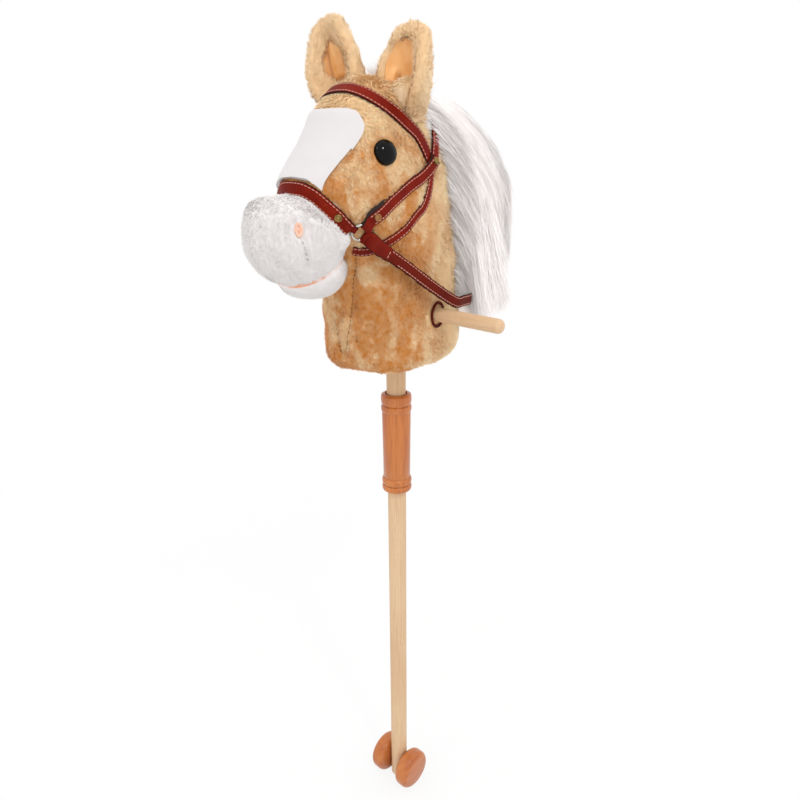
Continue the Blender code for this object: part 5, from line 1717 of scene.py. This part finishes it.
class PileLimits:
    """The share of its length that the pile keeps at places on each stuffed form."""

    def __init__(self, straps):
        self.straps = straps
        self.eyes = eye_seats()
        self.nostrils = [nostril_frame(sign)[0] for sign in (1, -1)]
        self.creases = [muzzle_crease(sign)[0][4:] for sign in (1, -1)]
        self.seams = seam_lines(NECK_SEAM) + seam_lines(CHEEK_SEAM)
        self.handle = np.linspace(-0.07, 0.07, 60)[:, None] * LEFT

    def clear_of(self, places, lines):
        """What the straps, the eyes, the handle's slots and some lines leave."""
        share = ease(obstacle_gap(places, self.straps), -0.0018, 0.0012)
        for eye in self.eyes:
            share = share * ease(np.linalg.norm(places - eye, axis=1), EYE_DIAMETER / 2 - 0.001,
                                 EYE_DIAMETER / 2 + 0.006)
        share = share * ease(obstacle_gap(places, (self.handle, SLOT_OUTER[0])), 0, 0.006)
        for line in lines:
            share = share * (0.25 + 0.75 * ease(line_gap(places, line), 0.0004, SEAM_REACH))
        return share

    def body(self, places):
        share = self.clear_of(places, self.seams)
        share[in_ellipsoid(places, MUZZLE_CENTRE, MUZZLE_HALF, -0.001)] = 0
        share[in_ellipsoid(places, CHIN_CENTRE, CHIN_HALF, -0.001)] = 0
        height = places[:, 2]
        bottom = float(noseband_edge(np.array(0.0)))
        half = blaze_half(np.clip((height - bottom) / (BLAZE_TOP - bottom), 0, 1), height)
        under = (np.abs(places[:, 0]) < half - 0.001) & (places[:, 1] < -0.02)
        share[under & (height > bottom - 0.012) & (height < BLAZE_TOP)] = 0
        return share

    def face(self, places):
        share = self.clear_of(places, self.creases)
        for spot in self.nostrils:
            share = share * ease(np.linalg.norm((places - spot) * (1, 1, 0.7), axis=1), 0.0026,
                                 0.0070)
        share[in_body(places, -0.001)] = 0
        return share

    def muzzle(self, places):
        share = self.face(places)
        share = share * (1 - in_ellipsoid(places, CHIN_CENTRE, CHIN_HALF, 0.0012) * 0.4)
        share[in_ellipsoid(places, CHIN_CENTRE, CHIN_HALF, -0.001)] = 0
        return share

    def chin(self, places):
        share = self.face(places)
        share = share * (1 - in_ellipsoid(places, MUZZLE_CENTRE, MUZZLE_HALF, 0.005) * 0.55)
        share[in_ellipsoid(places, MUZZLE_CENTRE, MUZZLE_HALF, 0.0025)] = 0
        return share

    def ear(self, places):
        share = ease(obstacle_gap(places, self.straps), -0.0008, 0.0020)
        return share * ~in_body(places, -0.001)

    def ear_root(self, places):
        return 1.0 * ~in_body(places, -0.001)


def plush_pieces(straps):
    """Skins of the stuffed forms and the pile on them."""
    tan = plush("tan_pile", hue("F6DFB4"), hue("CE790A"), hue("DC9F50"))
    # The ear and tuft piles glow more than the body's, the tuft most: painted light that lifts the
    # shade round and between the ears.
    pale_tan = plush("ear_pile", hue("F3D9B2"), hue("E3AC62"), hue("EBC592"), 0.036)
    tuft = plush("tuft_pile", hue("FAE8CC"), hue("ECC690"), hue("F2D8AC"), 0.12)
    white = white_plush("white_pile", hue("E9E6E5"), hue("E0DCDB"))
    # Painted shade: the blaze's white is greyer than the muzzle's, to take back the extra light and
    # glow on the bare patch.
    blaze_white_painted_darker = white_plush("blaze_pile", hue("CFCCCC"), hue("C9C5C5"))
    limits = PileLimits(straps)
    mesh = body_skin(straps)
    body = piece("stuffed_body", mesh, tan, ["neck", "head"])
    grow_pile("body_pile", Skin(mesh), tan, "tan_plush", limits.body, 21, **BODY_PILE)
    mesh = muzzle_skin()
    piece("stuffed_muzzle", mesh, white, ["muzzle"])
    grow_pile("muzzle_pile", Skin(mesh), white, "white_plush", limits.muzzle, 22, **MUZZLE_PILE)
    mesh = chin_skin()
    piece("stuffed_chin", mesh, white, ["chin"])
    grow_pile("chin_pile", Skin(mesh), white, "white_plush", limits.chin, 23, **CHIN_PILE)
    mesh = blaze_skin()
    piece("blaze_patch", mesh, blaze_white_painted_darker, ["blaze"])
    for side, sign in SIDES:
        mesh, bare = ear_skin(side, sign)
        piece(f"stuffed_ear_{side}", mesh, pale_tan, [f"ear_{side}"])
        grow_pile(f"ear_pile_{side}", Skin(mesh, bare), pale_tan, "tan_plush", limits.ear, 25,
                  **EAR_PILE)
        ear_lining(side, sign)
        rings, _ = ball(EAR_ROOT_CENTRE * flip_of(sign), EAR_ROOT_HALF, 40, 24)
        mesh = loft(f"ear_root_{side}", rings)
        piece(f"ear_root_{side}", mesh, tuft)
        grow_pile(f"ear_root_pile_{side}", Skin(mesh), tuft, "tan_plush", limits.ear_root, 26,
                  **EAR_ROOT_PILE)
    mouth_piece()
    nostril_pieces()


def surround():
    """Even light all round, which the camera sees as plain white."""
    world = bpy.data.worlds.new("surround")
    bpy.context.scene.world = world
    world.use_nodes = True
    w = Nodes(world.node_tree)
    world.node_tree.nodes.clear()
    seen = seen_directly(w)
    even = w.node("Background", {}, {"Color": (1.0, 0.99, 0.985), "Strength": EVEN_LIGHT})
    white = w.node("Background", {}, {"Color": (1, 1, 1), "Strength": 1.0})
    w.node("OutputWorld", {}, {0: w.node("MixShader", {}, {0: seen, 1: even, 2: white})})


def pale_floor():
    """A floor with a faint shadow, which fades into the white surround."""
    mesh = bpy.data.meshes.new("floor")
    corners = [(x * FLOOR_REACH, y * FLOOR_REACH, FLOOR_HEIGHT)
               for x, y in ((-1, -1), (1, -1), (1, 1), (-1, 1))]
    mesh.from_pydata(corners, [], [(0, 1, 2, 3)])
    floor = bpy.data.objects.new("floor", mesh)
    bpy.context.scene.collection.objects.link(floor)
    material = bpy.data.materials.new("pale_floor")
    material.use_nodes = True
    f = Nodes(material.node_tree)
    material.node_tree.nodes.clear()
    place = f.place((1, 1, 0))
    away = f.node("VectorMath", {"operation": "LENGTH"}, {0: place}, "Value")
    far = f.between(away, *FLOOR_FADE)
    matt = f.node("BsdfDiffuse", {}, {"Color": (0.86, 0.86, 0.86)})
    glow = f.node("Emission", {}, {"Color": (1, 1, 1), "Strength": 1.0})
    share = seen_directly(f) * (0.86 + 0.14 * far)
    f.node("OutputMaterial", {}, {0: f.node("MixShader", {}, {0: share, 1: matt, 2: glow})})
    mesh.materials.append(material)


def lamps():
    """Soft square lamps that look at the middle of the toy."""
    for name, place, size, power in LAMPS:
        lamp = bpy.data.objects.new(name, bpy.data.lights.new(name, "AREA"))
        lamp.data.size = size
        lamp.data.energy = power
        lamp.location = place
        lamp.rotation_euler = (Vector((0, 0, 0.05)) - lamp.location).to_track_quat(
            "-Z", "Y").to_euler()
        bpy.context.scene.collection.objects.link(lamp)


def seen_directly(nodes):
    """1 for camera, glossy and transmission rays, and 0 for the rays that light things."""
    seen, glossy, through_glass = (nodes.node("LightPath", {}, {}, f"Is {kind} Ray")
                                   for kind in ("Camera", "Glossy", "Transmission"))
    return seen.maths("MAXIMUM", seen, glossy.maths("MAXIMUM", glossy, through_glass))


def camera():
    """The photograph's view: from the horse's left front, a little above it, with a wide lens."""
    focal_pixels, picture_pixels, sensor = 655, 800, 36
    azimuth, tilt, roll = math.radians(41.5), math.radians(21.2), math.radians(-0.345)
    right, distance, height = 0.0041, 0.6689, 0.155
    place = Vector((right * math.cos(azimuth) + distance * math.sin(azimuth),
                    right * math.sin(azimuth) - distance * math.cos(azimuth), height))
    look = Vector((-math.sin(azimuth) * math.cos(tilt), math.cos(azimuth) * math.cos(tilt),
                   -math.sin(tilt)))
    x_axis = Vector((math.cos(azimuth), math.sin(azimuth), 0))
    y_axis = x_axis.cross(look)
    turned = Matrix((x_axis, y_axis, -look)).transposed().to_4x4()
    seen_by = bpy.data.objects.new("camera", bpy.data.cameras.new("camera"))
    seen_by.data.sensor_width = sensor
    seen_by.data.lens = sensor * focal_pixels / picture_pixels
    seen_by.matrix_world = Matrix.Translation(place) @ turned @ Matrix.Rotation(roll, 4, "Z")
    bpy.context.scene.collection.objects.link(seen_by)
    bpy.context.scene.camera = seen_by
    bpy.context.scene.view_settings.view_transform = "Standard"


LEATHER = leather("strap_leather")
BACKING = backing("strap_backing")
PALE_THREAD = thread("pale_thread", hue("E4BCAA"), hue("C6917B"))
DARK_THREAD = thread("dark_thread", hue("6B4A26"), hue("4A3016"))
GREY_THREAD = thread("grey_thread", hue("A79C9C"), hue("857A7C"))
STEEL = metal("plated_wire", hue("D8D8D4"), hue("A5A39C"), 0.2)
BRASS = metal("antique_brass", hue("A78A52"), hue("5C5230"), 0.3)
TAN_RIVET = metal("tan_rivet", hue("B58456"), hue("8A5C38"), 0.42)
BLACK = black_gloss("black_eye")
SATIN = satin("peach_satin")
NOSTRIL = felt("nostril_felt", hue("FAD3BE"), hue("EFA582"))


def carried_over():
    """Finishes for the plain inner pieces that stay as they were built."""
    nodes = frame["nodes"]
    for names, finish in ((("axle",), STEEL),
                          (("eye_washer_left", "eye_washer_right"), nylon("washer_nylon"))):
        for name in names:
            nodes[name].data.materials.clear()
            nodes[name].data.materials.append(finish.material)


camera()
surround()
pale_floor()
lamps()
carried_over()
wood_pieces()
covered = bridle()
eye_pieces()
slot_trims()
plush_pieces(covered)
seam_threads()
mane_and_tuft()
